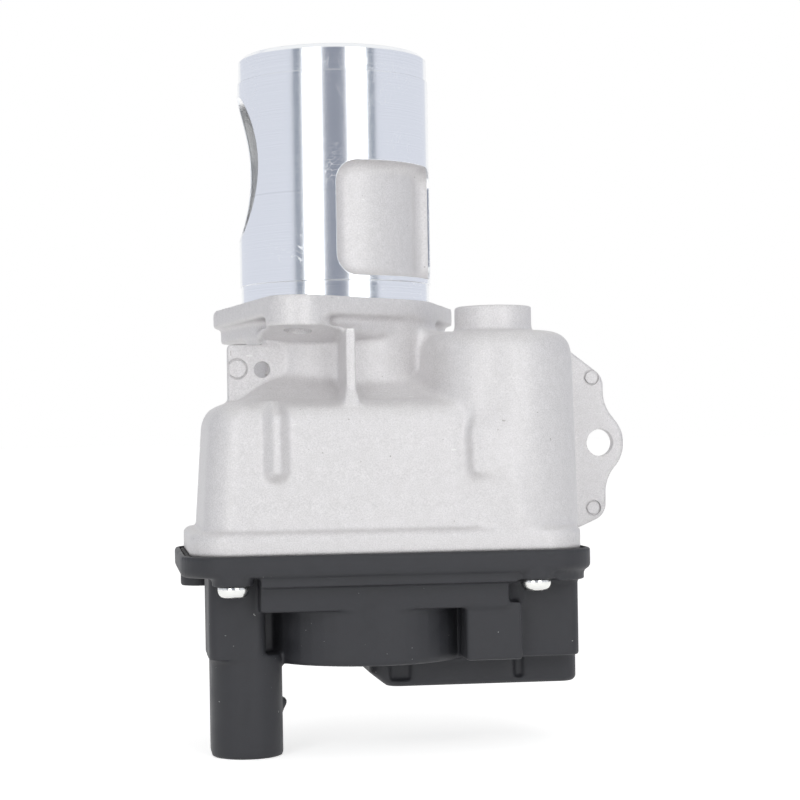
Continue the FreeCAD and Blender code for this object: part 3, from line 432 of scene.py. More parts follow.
def shaded(piece, sharp_angle):
    """Smooth shading, with edges sharper than an angle in degrees kept crisp."""
    piece.data.shade_smooth()
    piece.data.set_sharp_from_angle(angle=radians(sharp_angle))
    triangles = sum(len(face.vertices) - 2 for face in piece.data.polygons)
    print(piece.name, triangles, "triangles", [round(value / MM, 1) for value in piece.dimensions])


print("form helpers ready")

# %% [markdown]
# The big forms of the casting, in millimetres: the drafted gear chamber with its shoulder, the
# round neck with a solid back, the motor barrel with its domed edge, and the wall that joins
# barrel and neck. Each is a skin stretched over level circles. Two pads thicken the barrel's
# front wall, and where their left edge meets the chamber they leave a soft groove.

# %% Big forms
NECK_RADIUS = 22.3
NECK_TOP = -1
MOTOR_X, MOTOR_Y = 38.6, -22.0
BARREL_RADIUS = 19.1
BARREL_DRAFT = 1.1
BARREL_TOP = -8.6
BOX_LEFT, BOX_RIGHT, BOX_FRONT, BOX_BACK = -37.4, 44.6, -39.5, 20.0
BOX_TOP, BAND_TOP, DECK = -25.6, -57.7, -63.7
ROOT = BOX_TOP - 3
FOOT = BAND_TOP - 2
SHOULDER_TOP = -15.4
BRIDGE_TOP = -8.0
PAD_FRONT, PAD_BACK = -42.4, -33
BIG_VOXEL, BIG_PASSES = 0.9, 14

chamber = stretched(
    corner_rings(BOX_LEFT, BOX_RIGHT, BOX_FRONT, BOX_BACK, 9, FOOT)
    + corner_rings(BOX_LEFT + 2, BOX_RIGHT, BOX_FRONT + 1.2, BOX_BACK - 0.5, 9, BOX_TOP - 5)
    + corner_rings(BOX_LEFT + 3.6, BOX_RIGHT, BOX_FRONT + 2.6, BOX_BACK - 2, 8, BOX_TOP - 1.8)
    + corner_rings(BOX_LEFT + 7, BOX_RIGHT, BOX_FRONT + 6.5, BOX_BACK - 5, 6, BOX_TOP))
shoulder = stretched(
    corner_rings(BOX_LEFT + 9.4, BOX_RIGHT, BOX_FRONT + 7.5, BOX_BACK - 7.5, 5, BOX_TOP - 0.6)
    + corner_rings(-13, BOX_RIGHT, -9, BOX_BACK - 7.5, 5, SHOULDER_TOP))
neck_back = slab(-17.2, 18.6, 0, 19, 5, ROOT, NECK_TOP)
neck_wall = slab(18, MOTOR_X, -17, 19, 5, ROOT, BRIDGE_TOP)
neck = two_levels([(4, 0, NECK_RADIUS - 0.3), (-8.2, 0, 14.2), (-3, 0, 20.6)], ROOT, NECK_TOP)
barrel_rings = [(BARREL_RADIUS + BARREL_DRAFT, FOOT), (BARREL_RADIUS, BARREL_TOP - 5.5),
                (BARREL_RADIUS - 0.7, BARREL_TOP - 2.8), (BARREL_RADIUS - 2.7, BARREL_TOP - 0.8),
                (BARREL_RADIUS - 5.5, BARREL_TOP)]
barrel = stretched([(x, y, radius - less, z) for radius, z in barrel_rings
                    for x, y, less in ((MOTOR_X, MOTOR_Y, 0), (MOTOR_X + 3.4, BOX_BACK - 14.5, 4.6))])
pad_high = faceted([
    (28, PAD_FRONT, -44.6), (38, PAD_FRONT, -44.6), (28, PAD_BACK, -44.6), (50, PAD_BACK, -44.6),
    (28, -41.6, -33), (38, -41.6, -33), (32, -38.6, -26), (47, PAD_BACK, -26), (28, PAD_BACK, -33)])
pad_low = faceted([
    (34, PAD_FRONT, -43), (40, -42.2, -43), (39.4, PAD_FRONT, -58), (43, -42, -58),
    (34, PAD_BACK, -43), (51, PAD_BACK, -43), (39.4, PAD_BACK, -58), (53, PAD_BACK, -58)])
big_forms = gathered("big_forms", [chamber, shoulder, neck_back, neck_wall, neck, barrel, pad_high, pad_low])
fused(big_forms, BIG_VOXEL, BIG_PASSES)
print("big forms", len(big_forms.data.polygons), "faces")

# %% [markdown]
# The flange: a band with three lobes, a smaller plate under it, and a front lobe that slopes
# down into the neck. Beside it stand the boss over the motor and the band round the foot.

# %% Flange, boss and band
FRONT_BOLT = (-13.2, -33.0)
BACK_BOLTS = ((-22.5, 24.0), (26.0, 22.5))
BOLT_RADIUS = 3.5
FRONT_LOBE, BACK_LOBE, COLLAR_RADIUS = 7.8, 8.5, 25.8
UNDER_LOBE, UNDER_RADIUS = 6.5, 23.8
FLANGE_LOW, FRONT_LOBE_LOW, UNDER_LOW = -4.8, -7.5, -9
SLOPE_TOP, SLOPE_LOW, SLOPE_RADIUS = -7.3, -10.2, 22.2
BOSS_RADIUS, BOSS_TOP, BOSS_ROOT, BOSS_SHIFT = 9.8, -2.2, -16, 0.8
BAND_LEFT, BAND_RIGHT, BAND_FRONT, BAND_BACK, BAND_CORNER, BAND_EDGE = -40.4, 57.4, -42, 23, 11, 1.1

lobes = [(*FRONT_BOLT, FRONT_LOBE), (0, 0, COLLAR_RADIUS)] + [(x, y, BACK_LOBE) for x, y in BACK_BOLTS]
under = [(0, 0, UNDER_RADIUS), (-3.5, -27.5, 3.2)] + [(x, y, UNDER_LOBE) for x, y in BACK_BOLTS]
flange_band = two_levels(lobes, FLANGE_LOW, 0)
flange_under = two_levels(under, UNDER_LOW, NECK_TOP)
front_boss = column(*FRONT_BOLT, FRONT_LOBE, FRONT_LOBE_LOW, NECK_TOP)
front_slope = stretched([(*FRONT_BOLT, FRONT_LOBE - 0.2, SLOPE_TOP), (0, 0, SLOPE_RADIUS, SLOPE_TOP),
                         (0, 0, SLOPE_RADIUS, SLOPE_LOW), (-8.6, -21.4, 2.6, -10.4)])
motor_boss = column(MOTOR_X - BOSS_SHIFT, MOTOR_Y, BOSS_RADIUS, BOSS_ROOT, BOSS_TOP)
foot_band = stretched(
    corner_rings(BAND_LEFT, BAND_RIGHT, BAND_FRONT, BAND_BACK, BAND_CORNER, DECK)
    + corner_rings(BAND_LEFT, BAND_RIGHT, BAND_FRONT, BAND_BACK, BAND_CORNER, BAND_TOP - BAND_EDGE)
    + corner_rings(BAND_LEFT + BAND_EDGE, BAND_RIGHT - BAND_EDGE, BAND_FRONT + BAND_EDGE,
                   BAND_BACK - BAND_EDGE, BAND_CORNER - 1, BAND_TOP))
print("flange, boss and band ready")

# %% [markdown]
# The ribs and plates: an upright rib whose foot flares into the shoulder, a short strake on the
# front wall, the ear with its wavy outline and the tab. They are fused with the big forms by a
# finer skin and few smoothing passes, which keeps their edges.

# %% Ribs and plates
RIB_X, STRAKE_X = -0.3, -19.3
EAR_X, EAR_Z, EAR_Y = 70.2, -37.3, 0.0
TAB_X, TAB_Z, TAB_Y = -20.0, -17.4, -15.2
PLATE = 3.2
WAVE = 8.4
EAR_LEFT, TAB_LEFT, TAB_RIGHT = 50.6, TAB_X - 9.7, TAB_X + 8
CRISP_VOXEL, CRISP_PASSES = 0.62, 3

rib = ridge(RIB_X, [(-30, 1.25, 1.6, -35, -15), (-8, 1.25, 1.6, -35, -15)])
rib_foot = ridge(RIB_X, [(-28.5, 2.2, 3.2, -37.0, -15), (-26.2, 1.9, 2.8, -36.3, -15),
                         (-22.8, 1.3, 1.7, -35, -15)])
strake = ridge(STRAKE_X, [(-45.8, 0.7, 2.6, -39.4, -38.2), (-43.4, 0.8, 3.9, -42.1, -38.2),
                          (-29.5, 0.8, 3.9, -41.2, -37.2), (-25.6, 0.8, 3.7, -36.6, -33)])
ear = upright_plate([
    (EAR_LEFT, EAR_Z - 2.6 * WAVE, 1), (EAR_X - 6, EAR_Z - 2.7 * WAVE, 1),
    (EAR_X + 1.6, EAR_Z - 2.3 * WAVE, 4.4), (EAR_X + 1.6, EAR_Z - 1.15 * WAVE, 9),
    (EAR_X + 9.3, EAR_Z - 0.05 * WAVE, 9), (EAR_X + 1.2, EAR_Z + 1.2 * WAVE, 9),
    (EAR_X + 1.2, EAR_Z + 2.1 * WAVE, 4.4), (EAR_X - 8, EAR_Z + 2.95 * WAVE, 2),
    (EAR_LEFT, EAR_Z + 2.95 * WAVE, 1)], EAR_Y, PLATE)
tab = upright_plate([
    (TAB_LEFT, TAB_Z - 11, 0.8), (TAB_RIGHT, TAB_Z - 0.6, 0.8), (TAB_RIGHT, TAB_Z + 6.4, 0.8),
    (TAB_LEFT, TAB_Z + 6.4, 0.8)], TAB_Y, PLATE)
crisp_forms = gathered("crisp_forms", [
    flange_band, flange_under, front_boss, front_slope, motor_boss, foot_band, rib, rib_foot, strake,
    ear, tab])
casting = joined("housing_casting", [big_forms, crisp_forms])
fused(casting, CRISP_VOXEL, CRISP_PASSES)
print("casting", len(casting.data.polygons), "faces")

# %% [markdown]
# Ear and tab are thin upright plates, so their holes are drilled from front to back, by a pin
# no longer than the plate needs: a longer one would also drill the neck behind the tab. The
# die's pins leave thin rings in their faces, cut here as shallow rings that stand across too.

# %% Tools for plates
MARK_WIDTH, MARK_DEPTH, MARK_PROUD = 0.5, 0.6, 1.0
QUARTER_TURN = radians(90)


def across(x, y, z, radius):
    """A pin through an upright plate whose middle is at y."""
    mesh = column(0, 0, radius, -PLATE - y, PLATE - y)
    bmesh.ops.rotate(mesh, cent=(0, 0, 0), matrix=Matrix.Rotation(QUARTER_TURN, 3, "X"),
                     verts=mesh.verts)
    bmesh.ops.translate(mesh, vec=Vector((x, 0, z)) * MM, verts=mesh.verts)
    return mesh


def pin_mark(x, y, z, radius):
    """A thin ring that a die pin leaves in a cast face."""
    mesh = bmesh.new()
    turn = Matrix.Translation(Vector((x, y, z)) * MM) @ Matrix.Rotation(QUARTER_TURN, 4, "X")
    bmesh.ops.create_circle(mesh, cap_ends=True, segments=RING_POINTS, radius=radius * MM, matrix=turn)
    inner = bmesh.ops.inset_region(mesh, faces=mesh.faces[:], thickness=MARK_WIDTH * MM,
                                   use_boundary=True)
    bmesh.ops.delete(mesh, geom=[face for face in mesh.faces if face not in inner["faces"]],
                     context="FACES")
    raised = bmesh.ops.extrude_face_region(mesh, geom=mesh.faces[:])
    verts = [item for item in raised["geom"] if isinstance(item, bmesh.types.BMVert)]
    bmesh.ops.translate(mesh, vec=(0, (MARK_DEPTH + MARK_PROUD) * MM, 0), verts=verts)
    bmesh.ops.translate(mesh, vec=(0, -MARK_PROUD * MM, 0), verts=mesh.verts)
    bmesh.ops.recalc_face_normals(mesh, faces=mesh.faces)
    return mesh


print("plate tools ready")

# %% [markdown]
# The machined and cored spaces: the gear chamber and the motor's bore, the socket for the tube,
# the stem's bore, the bolt holes and the holes of ear and tab. Drilling them one by one would
# cut the fine skin many times. Here the tools overlap in one mesh and are taken away together.

# %% Cavities and holes
SCREWS = [(-30.3, -39), (44.4, -39), (54.4, 17.4), (9.2, 17.4), (-36, 17.4)]
OUTPUT_X, OUTPUT_Y = 6.0, -13.0
SPRING_TOP = -31.3
TUBE_RADIUS, TUBE_SEAT, STEM_BORE = 25, -4, 6
MOTOR_BORE, MOTOR_SEAT, BUSH_BORE, BUSH_SEAT = 15.1, -13.9, 5.6, -9.9
POST_RADIUS, POST_LOW, AXLE_RADIUS = 4.5, -68.1, 2.5
THREAD_RADIUS, THREAD_TOP = 2, -58.8
EAR_HOLE, TAB_HOLE, TAB_HOLE_X = 3.6, 2.1, TAB_X - 0.9
SHARP_ANGLE = 42

chamber_space = one_tool("chamber_space", [stretched(
    corner_rings(-34.4, 19, -36.5, 17, 6, DECK - 1) + corner_rings(-27.8, 19, -31.8, 15, 6, SPRING_TOP))])
post = one_tool("post", [column(OUTPUT_X, OUTPUT_Y, POST_RADIUS, POST_LOW, -20)])
combined(chamber_space, post, "DIFFERENCE")
combined(casting, chamber_space, "DIFFERENCE")
bores = [
    column(0, 0, TUBE_RADIUS, TUBE_SEAT, 1), column(0, 0, STEM_BORE, -40, TUBE_SEAT),
    column(MOTOR_X, MOTOR_Y, MOTOR_BORE, DECK - 1, MOTOR_SEAT),
    column(MOTOR_X, MOTOR_Y, BUSH_BORE, -20, BUSH_SEAT),
    column(OUTPUT_X, OUTPUT_Y, AXLE_RADIUS, -69.5, -57.3),
    across(EAR_X, EAR_Y, EAR_Z, EAR_HOLE), across(TAB_HOLE_X, TAB_Y, TAB_Z, TAB_HOLE)]
bores += [column(x, y, BOLT_RADIUS, -21, 1) for x, y in (FRONT_BOLT, *BACK_BOLTS)]
bores += [column(x, y, THREAD_RADIUS, DECK - 1, THREAD_TOP) for x, y in SCREWS]
bores += [pin_mark(EAR_X - 2.1, EAR_Y - PLATE / 2, EAR_Z + side * 17.4, 2.1) for side in (-1, 1)]
bores += [pin_mark(TAB_X - 7.2, TAB_Y - PLATE / 2, TAB_Z + 0.2, 2.7)]
combined(casting, one_tool("bores", bores), "DIFFERENCE")
shaded(casting, SHARP_ANGLE)
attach(casting, "casing")
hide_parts("valve_housing")

# %% [markdown]
# The gear cover is moulded plastic: crisp steps, but no knife edges. Its plates and blocks are
# pushed into each other and fused like the casting, with a finer skin and a single smoothing
# pass, which leaves the small round edge that a mould has.

# %% Rim, step and tray
COVER_LEFT, COVER_RIGHT, COVER_FRONT, COVER_BACK, COVER_CORNER = -42.8, 59.8, -43.4, 24.4, 12.4
COVER_TOP, RIM_LOW, STEP_LOW, TRAY_LOW, SCREW_SEAT = -64.3, -68.6, -71.2, -77.4, -70.6
RIM_EDGE, STEP_INSET, TRAY_INSET = 0.7, 1.6, 4.6
STEP_LEFT = -23.8
STEP_CLEARANCE, TRAY_CLEARANCE = 5.6, 6.7
BEYOND = 60


def cover_level(inset, z):
    """The rim's outline, drawn in by some millimetres."""
    return corner_rings(COVER_LEFT + inset, COVER_RIGHT - inset, COVER_FRONT + inset, COVER_BACK - inset,
                        COVER_CORNER - inset, z)


rim = stretched(cover_level(RIM_EDGE, RIM_LOW) + cover_level(0, RIM_LOW + RIM_EDGE)
                + cover_level(0, COVER_TOP + 1.0))
step_plate = one_tool("step_plate", [
    stretched(cover_level(STEP_INSET, STEP_LOW) + cover_level(STEP_INSET, RIM_LOW + 1))])
tray = one_tool("tray", [
    stretched(cover_level(TRAY_INSET, TRAY_LOW) + cover_level(TRAY_INSET, RIM_LOW + 1))])
corner = one_tool("corner", [slab(42.1, 70, -BEYOND, -32, 1, TRAY_LOW - 2, RIM_LOW)])
combined(tray, corner, "DIFFERENCE")
for plate, clearance in ((step_plate, STEP_CLEARANCE), (tray, TRAY_CLEARANCE)):
    clear = [column(x, y, clearance, TRAY_LOW - 3, RIM_LOW) for x, y in SCREWS]
    clear += [slab(-BEYOND, STEP_LEFT, -BEYOND, BEYOND, 1, TRAY_LOW - 2, RIM_LOW - 0.01)]
    combined(plate, one_tool("clear", clear), "DIFFERENCE")
print("rim, step and tray ready")

# %% [markdown]
# Under the tray hang the dome over the output gear, the blocks over the motor's end, the sump
# behind them with its two notches, and the plug with its latch. Screws sit in plain
# bosses, and the one at the back on the left has a deeper collar round its head.

# %% Dome, blocks and plug
DOME_X, DOME_RADIUS, DOME_LOW, DOME_EDGE = 4.9, 26.1, -91.2, 0.7
BLOCK_LOW, SUMP_LOW = -90.6, -98.2
SUMP_RIGHT, SUMP_FRONT, SUMP_BACK, SUMP_CORNER = 58.4, -23.5, 11.5, 4
PLUG_X, PLUG_LOW, PLUG_BASE_LOW = -26.5, -113.8, -89.4
LATCH_LEFT, LATCH_RIGHT = -19, -16.4
SCREW_BOSS, COLLAR_OUTSIDE, COLLAR_INSIDE, COLLAR_LOW = 5.1, 5.2, 4.2, -73.9
COLLAR_SCREW = SCREWS[4]
COVER_VOXEL, COVER_PASSES = 0.55, 1

dome = stretched([(DOME_X, OUTPUT_Y, DOME_RADIUS - DOME_EDGE, DOME_LOW),
                  (DOME_X, OUTPUT_Y, DOME_RADIUS, DOME_LOW + DOME_EDGE),
                  (DOME_X, OUTPUT_Y, DOME_RADIUS, TRAY_LOW + 1)])
front_block = slab(27, 41.2, -38, -19.5, 1, BLOCK_LOW, TRAY_LOW + 1)
side_block = slab(28, 57.2, -32, -14.5, 3, BLOCK_LOW, RIM_LOW + 1)
sump = one_tool("sump", [stretched(
    corner_rings(9.4, SUMP_RIGHT - 1, SUMP_FRONT + 1, SUMP_BACK - 1, 3, SUMP_LOW)
    + corner_rings(8.2, SUMP_RIGHT, SUMP_FRONT, SUMP_BACK, SUMP_CORNER, SUMP_LOW + 0.9)
    + corner_rings(4.8, SUMP_RIGHT, SUMP_FRONT, SUMP_BACK, SUMP_CORNER, SUMP_LOW + 3.6)
    + corner_rings(4.8, SUMP_RIGHT, SUMP_FRONT, SUMP_BACK, SUMP_CORNER, TRAY_LOW + 1))])
notches = [slab(left, right, -26, -22.3, 0.3, SUMP_LOW + 1.5, TRAY_LOW - 2)
           for left, right in ((9.6, 15.2), (41.5, 44.1))]
combined(sump, one_tool("notches", notches), "DIFFERENCE")
plug_base = slab(-36, -22.1, -33, -7, 3, PLUG_BASE_LOW, RIM_LOW + 1)
plug_side = slab(PLUG_X, -19.3, -22.5, -10, 1, PLUG_BASE_LOW, RIM_LOW + 1)
shroud = slab(-35.4, -17.6, -33, -7, 8.85, PLUG_LOW, PLUG_BASE_LOW + 1)
latch = faceted([(x, y, z) for y in (-23, -17) for x, z in (
    (LATCH_LEFT, -103.2), (LATCH_RIGHT - 0.9, -103.2), (LATCH_RIGHT, -101.5), (LATCH_RIGHT, -100.4),
    (LATCH_LEFT, -100.4))])
bosses = [column(x, max(y, COVER_FRONT + SCREW_BOSS), SCREW_BOSS, SCREW_SEAT, COVER_TOP - 1)
          for x, y in SCREWS if x < COVER_RIGHT - 6]
bosses += [column(*COLLAR_SCREW, COLLAR_OUTSIDE, COLLAR_LOW, COVER_TOP - 1)]
blocks = gathered("cover_blocks", [
    rim, dome, front_block, side_block, plug_base, plug_side, shroud, latch] + bosses)
cover = joined("cover_moulding", [blocks, step_plate, tray, sump])
fused(cover, COVER_VOXEL, COVER_PASSES)
print("cover", len(cover.data.polygons), "faces")

# %% [markdown]
# Inside, the cover is a thin shell. The hollows follow the outside at the wall's thickness and
# leave the post that holds the intermediate axle. The rim keeps a low lip that hides the gasket,
# and the plug keeps its deep socket.

# %% Hollows of the cover
MIDDLE_AXIS = (31.07, -6.09)
SCREW_CLEARANCE = 2.25
HOLLOW_TOP, MOTOR_HOLLOW = -62, 15.3

hollows = one_tool("hollows", [
    slab(-16.2, 36, -36, 14, 4, -75, HOLLOW_TOP), slab(-16.2, 52.8, -29.6, 14, 4, -75, HOLLOW_TOP),
    column(OUTPUT_X, OUTPUT_Y, 23.2, -88.8, -74), slab(29.4, 38.8, -35.6, -17.5, 1, -88.2, -74),
    slab(29.4, 52.8, -29.6, -17.5, 3, -88.2, -74), slab(10.8, 52.8, -20.5, 9.1, 2, -95.8, -74),
    column(MOTOR_X, MOTOR_Y, MOTOR_HOLLOW, -64.9, HOLLOW_TOP)])
combined(hollows, one_tool("axle_post", [column(*MIDDLE_AXIS, 4.2, -99, -87.4)]), "DIFFERENCE")
openings = [slab(-41.7, 58.7, -42.3, 23.3, 11.3, COVER_TOP, -60),
            slab(-33.6, -19.4, -31.2, -8.8, 7.05, -115, -93)]
openings += [column(x, y, SCREW_CLEARANCE, -80, -60) for x, y in SCREWS]
openings += [column(*MIDDLE_AXIS, 2.0, -95.8, -86), column(*COLLAR_SCREW, COLLAR_INSIDE, -80, SCREW_SEAT)]
combined(cover, hollows, "DIFFERENCE")
combined(cover, one_tool("openings", openings), "DIFFERENCE")
shaded(cover, SHARP_ANGLE)
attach(cover, "casing")
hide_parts("gear_cover")

# %% [markdown]
# The gasket lies between the two, inside the cover's lip. It is one rubber frame with an eye
# for each screw.

# %% Gasket
gasket = one_tool("rubber_gasket", [slab(-41.2, 58.2, -41.9, 22.9, 11, COVER_TOP, DECK)])
inside = one_tool("inside", [slab(-37, 54, -38.6, 19.6, 8, COVER_TOP - 1, DECK + 1)])
combined(gasket, inside, "DIFFERENCE")
eyes = one_tool("eyes", [column(x, y, SCREW_CLEARANCE, COVER_TOP - 1, DECK + 1) for x, y in SCREWS])
combined(gasket, eyes, "DIFFERENCE")
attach(gasket, "casing")
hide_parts("cover_gasket")
print("gasket ready")

# %% [markdown]
# Cover screws: M4 pan heads with a six-lobed socket. One profile is spun about an axis, the
# socket's rings are pushed in and out six times round, and the mesh is then copied to each
# screw's place, so that the five screws are one piece.

# %% Cover screws
HEAD_HEIGHT = 2.9
SOCKET_RINGS = (0.5, 1.95)
LOBES, LOBE_DEPTH = 6, 0.1
SPIN_STEPS = 48
HEAD_SHARP_ANGLE = 50
profile = [(0, 1.5), (1.15, 1.5), (1.75, 1.2), (1.8, 0.1), (1.9, 0.0), (2.3, 0.02), (2.9, 0.22),
           (3.45, 0.75), (3.72, 1.4), (3.8, 2.1), (3.78, 2.7), (3.6, HEAD_HEIGHT), (2.05, HEAD_HEIGHT),
           (1.98, 3.2), (1.98, 10.9), (1.5, 11.7), (0, 11.7)]
head_face = SCREW_SEAT - HEAD_HEIGHT
turned_screw = bmesh.new()
path = [turned_screw.verts.new((radius * MM, 0, (head_face + height) * MM)) for radius, height in profile]
edges = [turned_screw.edges.new(pair) for pair in zip(path, path[1:])]
bmesh.ops.spin(turned_screw, geom=path + edges, cent=(0, 0, 0), axis=(0, 0, 1), angle=2 * pi,
               steps=SPIN_STEPS, use_merge=True)
bmesh.ops.remove_doubles(turned_screw, verts=turned_screw.verts, dist=0.001 * MM)
for vert in turned_screw.verts:
    reach = Vector((vert.co.x, vert.co.y))
    in_socket = SOCKET_RINGS[0] * MM < reach.length < SOCKET_RINGS[1] * MM
    if in_socket and vert.co.z < (SCREW_SEAT - 1) * MM:
        wave = 1 + LOBE_DEPTH * cos(LOBES * reach.angle_signed(Vector((1, 0))))
        vert.co.x, vert.co.y = vert.co.x * wave, vert.co.y * wave
bmesh.ops.recalc_face_normals(turned_screw, faces=turned_screw.faces)
screw_forms = []
for x, y in SCREWS:
    placed = turned_screw.copy()
    bmesh.ops.translate(placed, vec=(x * MM, y * MM, 0), verts=placed.verts)
    screw_forms.append(placed)
turned_screw.free()
screws = gathered("pan_head_screws", screw_forms)
shaded(screws, HEAD_SHARP_ANGLE)
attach(screws, "casing")
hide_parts("cover_screws")

# %% [markdown]
# Helpers for the finishes. Every material is one Principled shader whose plain numbers sit on
# the shader itself. Grain, turning lines and stains come from noise read in the piece's own
# coordinates, in waves per metre, so a scale of 2000 draws grains of half a millimetre.

# %% Finish helpers
finishes = {}


def finish(name, colour, metallic, roughness):
    """A new material with one Principled shader."""
    material = bpy.data.materials.new(name)
    material.use_nodes = True
    shader = material.node_tree.nodes["Principled BSDF"]
    shader.inputs["Base Color"].default_value = (*colour, 1)
    shader.inputs["Metallic"].default_value = metallic
    shader.inputs["Roughness"].default_value = roughness
    finishes[name] = material
    return material


def piece_place(material):
    return add_node(material, "TexCoord", {}).outputs["Object"]


def noise(material, scale, detail=2.0, stretch=(1, 1, 1), rough=0.5, place=None, bend=0.0):
    """Noise with one number from 0 to 1 at each point of the piece."""
    spread = add_node(material, "Mapping", {"Vector": place or piece_place(material), "Scale": stretch})
    texture = add_node(material, "TexNoise", {"Vector": spread.outputs["Vector"], "Scale": scale,
                                              "Detail": detail, "Roughness": rough, "Distortion": bend})
    return texture.outputs["Fac"]


def between(material, value, low, high, start=0.3, end=0.7):
    """Maps a value from start to end onto numbers from low to high."""
    return add_node(material, "MapRange", {"Value": value, "From Min": start, "From Max": end,
                                           "To Min": low, "To Max": high}).outputs["Result"]


def colours(material, value, dark, light, start=0.35, end=0.65):
    """Mixes two colours by a noise value."""
    ramp = add_node(material, "ValToRGB", {"Fac": value})
    for element, position, colour in zip(ramp.color_ramp.elements, (start, end), (dark, light)):
        element.position = position
        element.color = (*colour, 1)
    return ramp.outputs["Color"]


def layered(material, share, below, above):
    """One colour over another where the share is 1. Each is three numbers or another node's colour."""
    mix = add_node(material, "Mix", {"Factor": share}, data_type="RGBA")
    sockets = [socket for socket in mix.inputs if socket.type == "RGBA"]
    for socket, colour in zip(sockets, (below, above)):
        if isinstance(colour, bpy.types.NodeSocket):
            material.node_tree.links.new(colour, socket)
        else:
            socket.default_value = (*colour, 1)
    return [socket for socket in mix.outputs if socket.type == "RGBA"][0]


def blended(material, share, below, above):
    """One number over another where the share is 1."""
    return add_node(material, "Mix", {"Factor": share, "A": below, "B": above}).outputs["Result"]


def feed(material, output, socket):
    """Joins a varying value to a socket of the Principled shader."""
    tree = material.node_tree
    tree.links.new(output, tree.nodes["Principled BSDF"].inputs[socket])


def bumps(material, layers, edge=0.0):
    """Raises the surface by layers of noise, each a value and its height in millimetres, over edges
    that look rounded by the radius edge, also in millimetres."""
    normal = None
    if edge:
        normal = add_node(material, "Bevel", {"Radius": edge * MM}, samples=4).outputs["Normal"]
    for value, height in layers:
        inputs = {"Height": value, "Strength": 1.0, "Distance": height * MM}
        if normal:
            inputs["Normal"] = normal
        normal = add_node(material, "Bump", inputs).outputs["Normal"]
    feed(material, normal, "Normal")


def turned_place(material, axis=(0, 0)):
    """Distance from a lathe's axis and height along it, in which noise draws turning rings."""
    shift = (-axis[0] * MM, -axis[1] * MM, 0)
    moved = add_node(material, "Mapping", {"Vector": piece_place(material), "Location": shift})
    parts = add_node(material, "SeparateXYZ", {"Vector": moved.outputs["Vector"]})
    flat = add_node(material, "CombineXYZ", {"X": parts.outputs["X"], "Y": parts.outputs["Y"]})
    reach = add_node(material, "VectorMath", {0: flat.outputs["Vector"]}, operation="LENGTH").outputs["Value"]
    rings = add_node(material, "CombineXYZ", {"X": reach, "Y": parts.outputs["Z"]}).outputs["Vector"]
    return rings, reach, parts


def dressed(pieces, material):
    """Puts a finish on pieces in place of what they wore."""
    for piece in pieces:
        piece.data.materials.clear()
        piece.data.materials.append(material)


print("finish helpers ready")

# %% [markdown]
# Cast aluminium. The casting comes out of the die with a skin like fine sandpaper, blasted to an
# even pale grey. Three sizes of noise make it: grain a third of a millimetre wide, a faint
# mottle of a few millimetres where the blasting was uneven, and the broad waves of the die.
# Rare specks of dirt and bright dints keep the large walls from looking sprayed.

# %% Cast aluminium
CAST_DARK, CAST_PALE = (0.68, 0.67, 0.675), (0.9, 0.885, 0.895)


def cast_skin(material):
    """Colour, grain and mottle of blasted aluminium, as three outputs."""
    grain = noise(material, 3000, 3, rough=0.65)
    mottle = noise(material, 500, 4)
    shade = colours(material, grain, CAST_DARK, CAST_PALE, 0.3, 0.7)
    shade = layered(material, between(material, mottle, 0, 0.16, 0.35, 0.7), shade, (0.55, 0.54, 0.53))
    dirt = between(material, noise(material, 1100, 0), 0, 0.6, 0.86, 0.88)
    shade = layered(material, dirt, shade, (0.3, 0.28, 0.26))
    dint = between(material, noise(material, 900, 0, stretch=(0.3, 1, 1)), 0, 0.7, 0.865, 0.88)
    return layered(material, dint, shade, (0.97, 0.97, 0.96)), grain, mottle


cast = finish("cast_aluminium", CAST_PALE, 0.35, 0.5)
shade, grain, mottle = cast_skin(cast)
feed(cast, shade, "Base Color")
feed(cast, between(cast, grain, 0.42, 0.62), "Roughness")
bumps(cast, [(grain, 0.03), (mottle, 0.03), (noise(cast, 70, 2), 0.12)], edge=0.25)
dressed([casting], cast)
print("housing wears", cast.name)

# %% [markdown]
# Turned aluminium. The lathe leaves rings so fine that they only draw the lamps out into tall
# streaks. Noise read by radius and height draws those rings: thousands of faint ones, and a few
# coarse ones where the tool chattered. Hair-thin scratches wander over them, one ring is scribed
# deeper, and the recess keeps the skin of the casting, because the tool never reached it. The
# window is milled, which leaves its cut faces bright and dull.

# %% Turned aluminium
RECESS_RADII = (19.5, 24.45)
CUT_LEVELS = (1, 60)
RECESS_LEFT = -8
SCRIBED_HEIGHT = 27.3
turned = finish("turned_aluminium", (0.88, 0.9, 0.92), 1.0, 0.16)
rings, reach, parts = turned_place(turned)
fine_rings = noise(turned, 5200, 4, rough=0.7, place=rings)
inside_land = calculate(turned, "MULTIPLY", calculate(turned, "GREATER_THAN", reach, RECESS_RADII[0] * MM),
                        calculate(turned, "LESS_THAN", reach, RECESS_RADII[1] * MM))
height = parts.outputs["Z"]
below_top = calculate(turned, "MULTIPLY", calculate(turned, "LESS_THAN", height, CUT_LEVELS[1] * MM),
                      calculate(turned, "GREATER_THAN", height, CUT_LEVELS[0] * MM))
cut_face = calculate(turned, "MULTIPLY", inside_land, below_top)
right_side = calculate(turned, "GREATER_THAN", parts.outputs["X"], RECESS_LEFT * MM)
recess = calculate(turned, "MULTIPLY", cut_face, right_side)
milled = calculate(turned, "MULTIPLY", cut_face, calculate(turned, "SUBTRACT", 1.0, right_side))
hair = calculate(turned, "ABSOLUTE", calculate(turned, "SUBTRACT", noise(turned, 150, 2, bend=2.2), 0.5))
hair = calculate(turned, "MULTIPLY", between(turned, hair, 1, 0, 0.001, 0.009),
                 between(turned, noise(turned, 60, 2), 0, 1, 0.45, 0.6))
level_gap = calculate(turned, "SUBTRACT", height, SCRIBED_HEIGHT * MM)
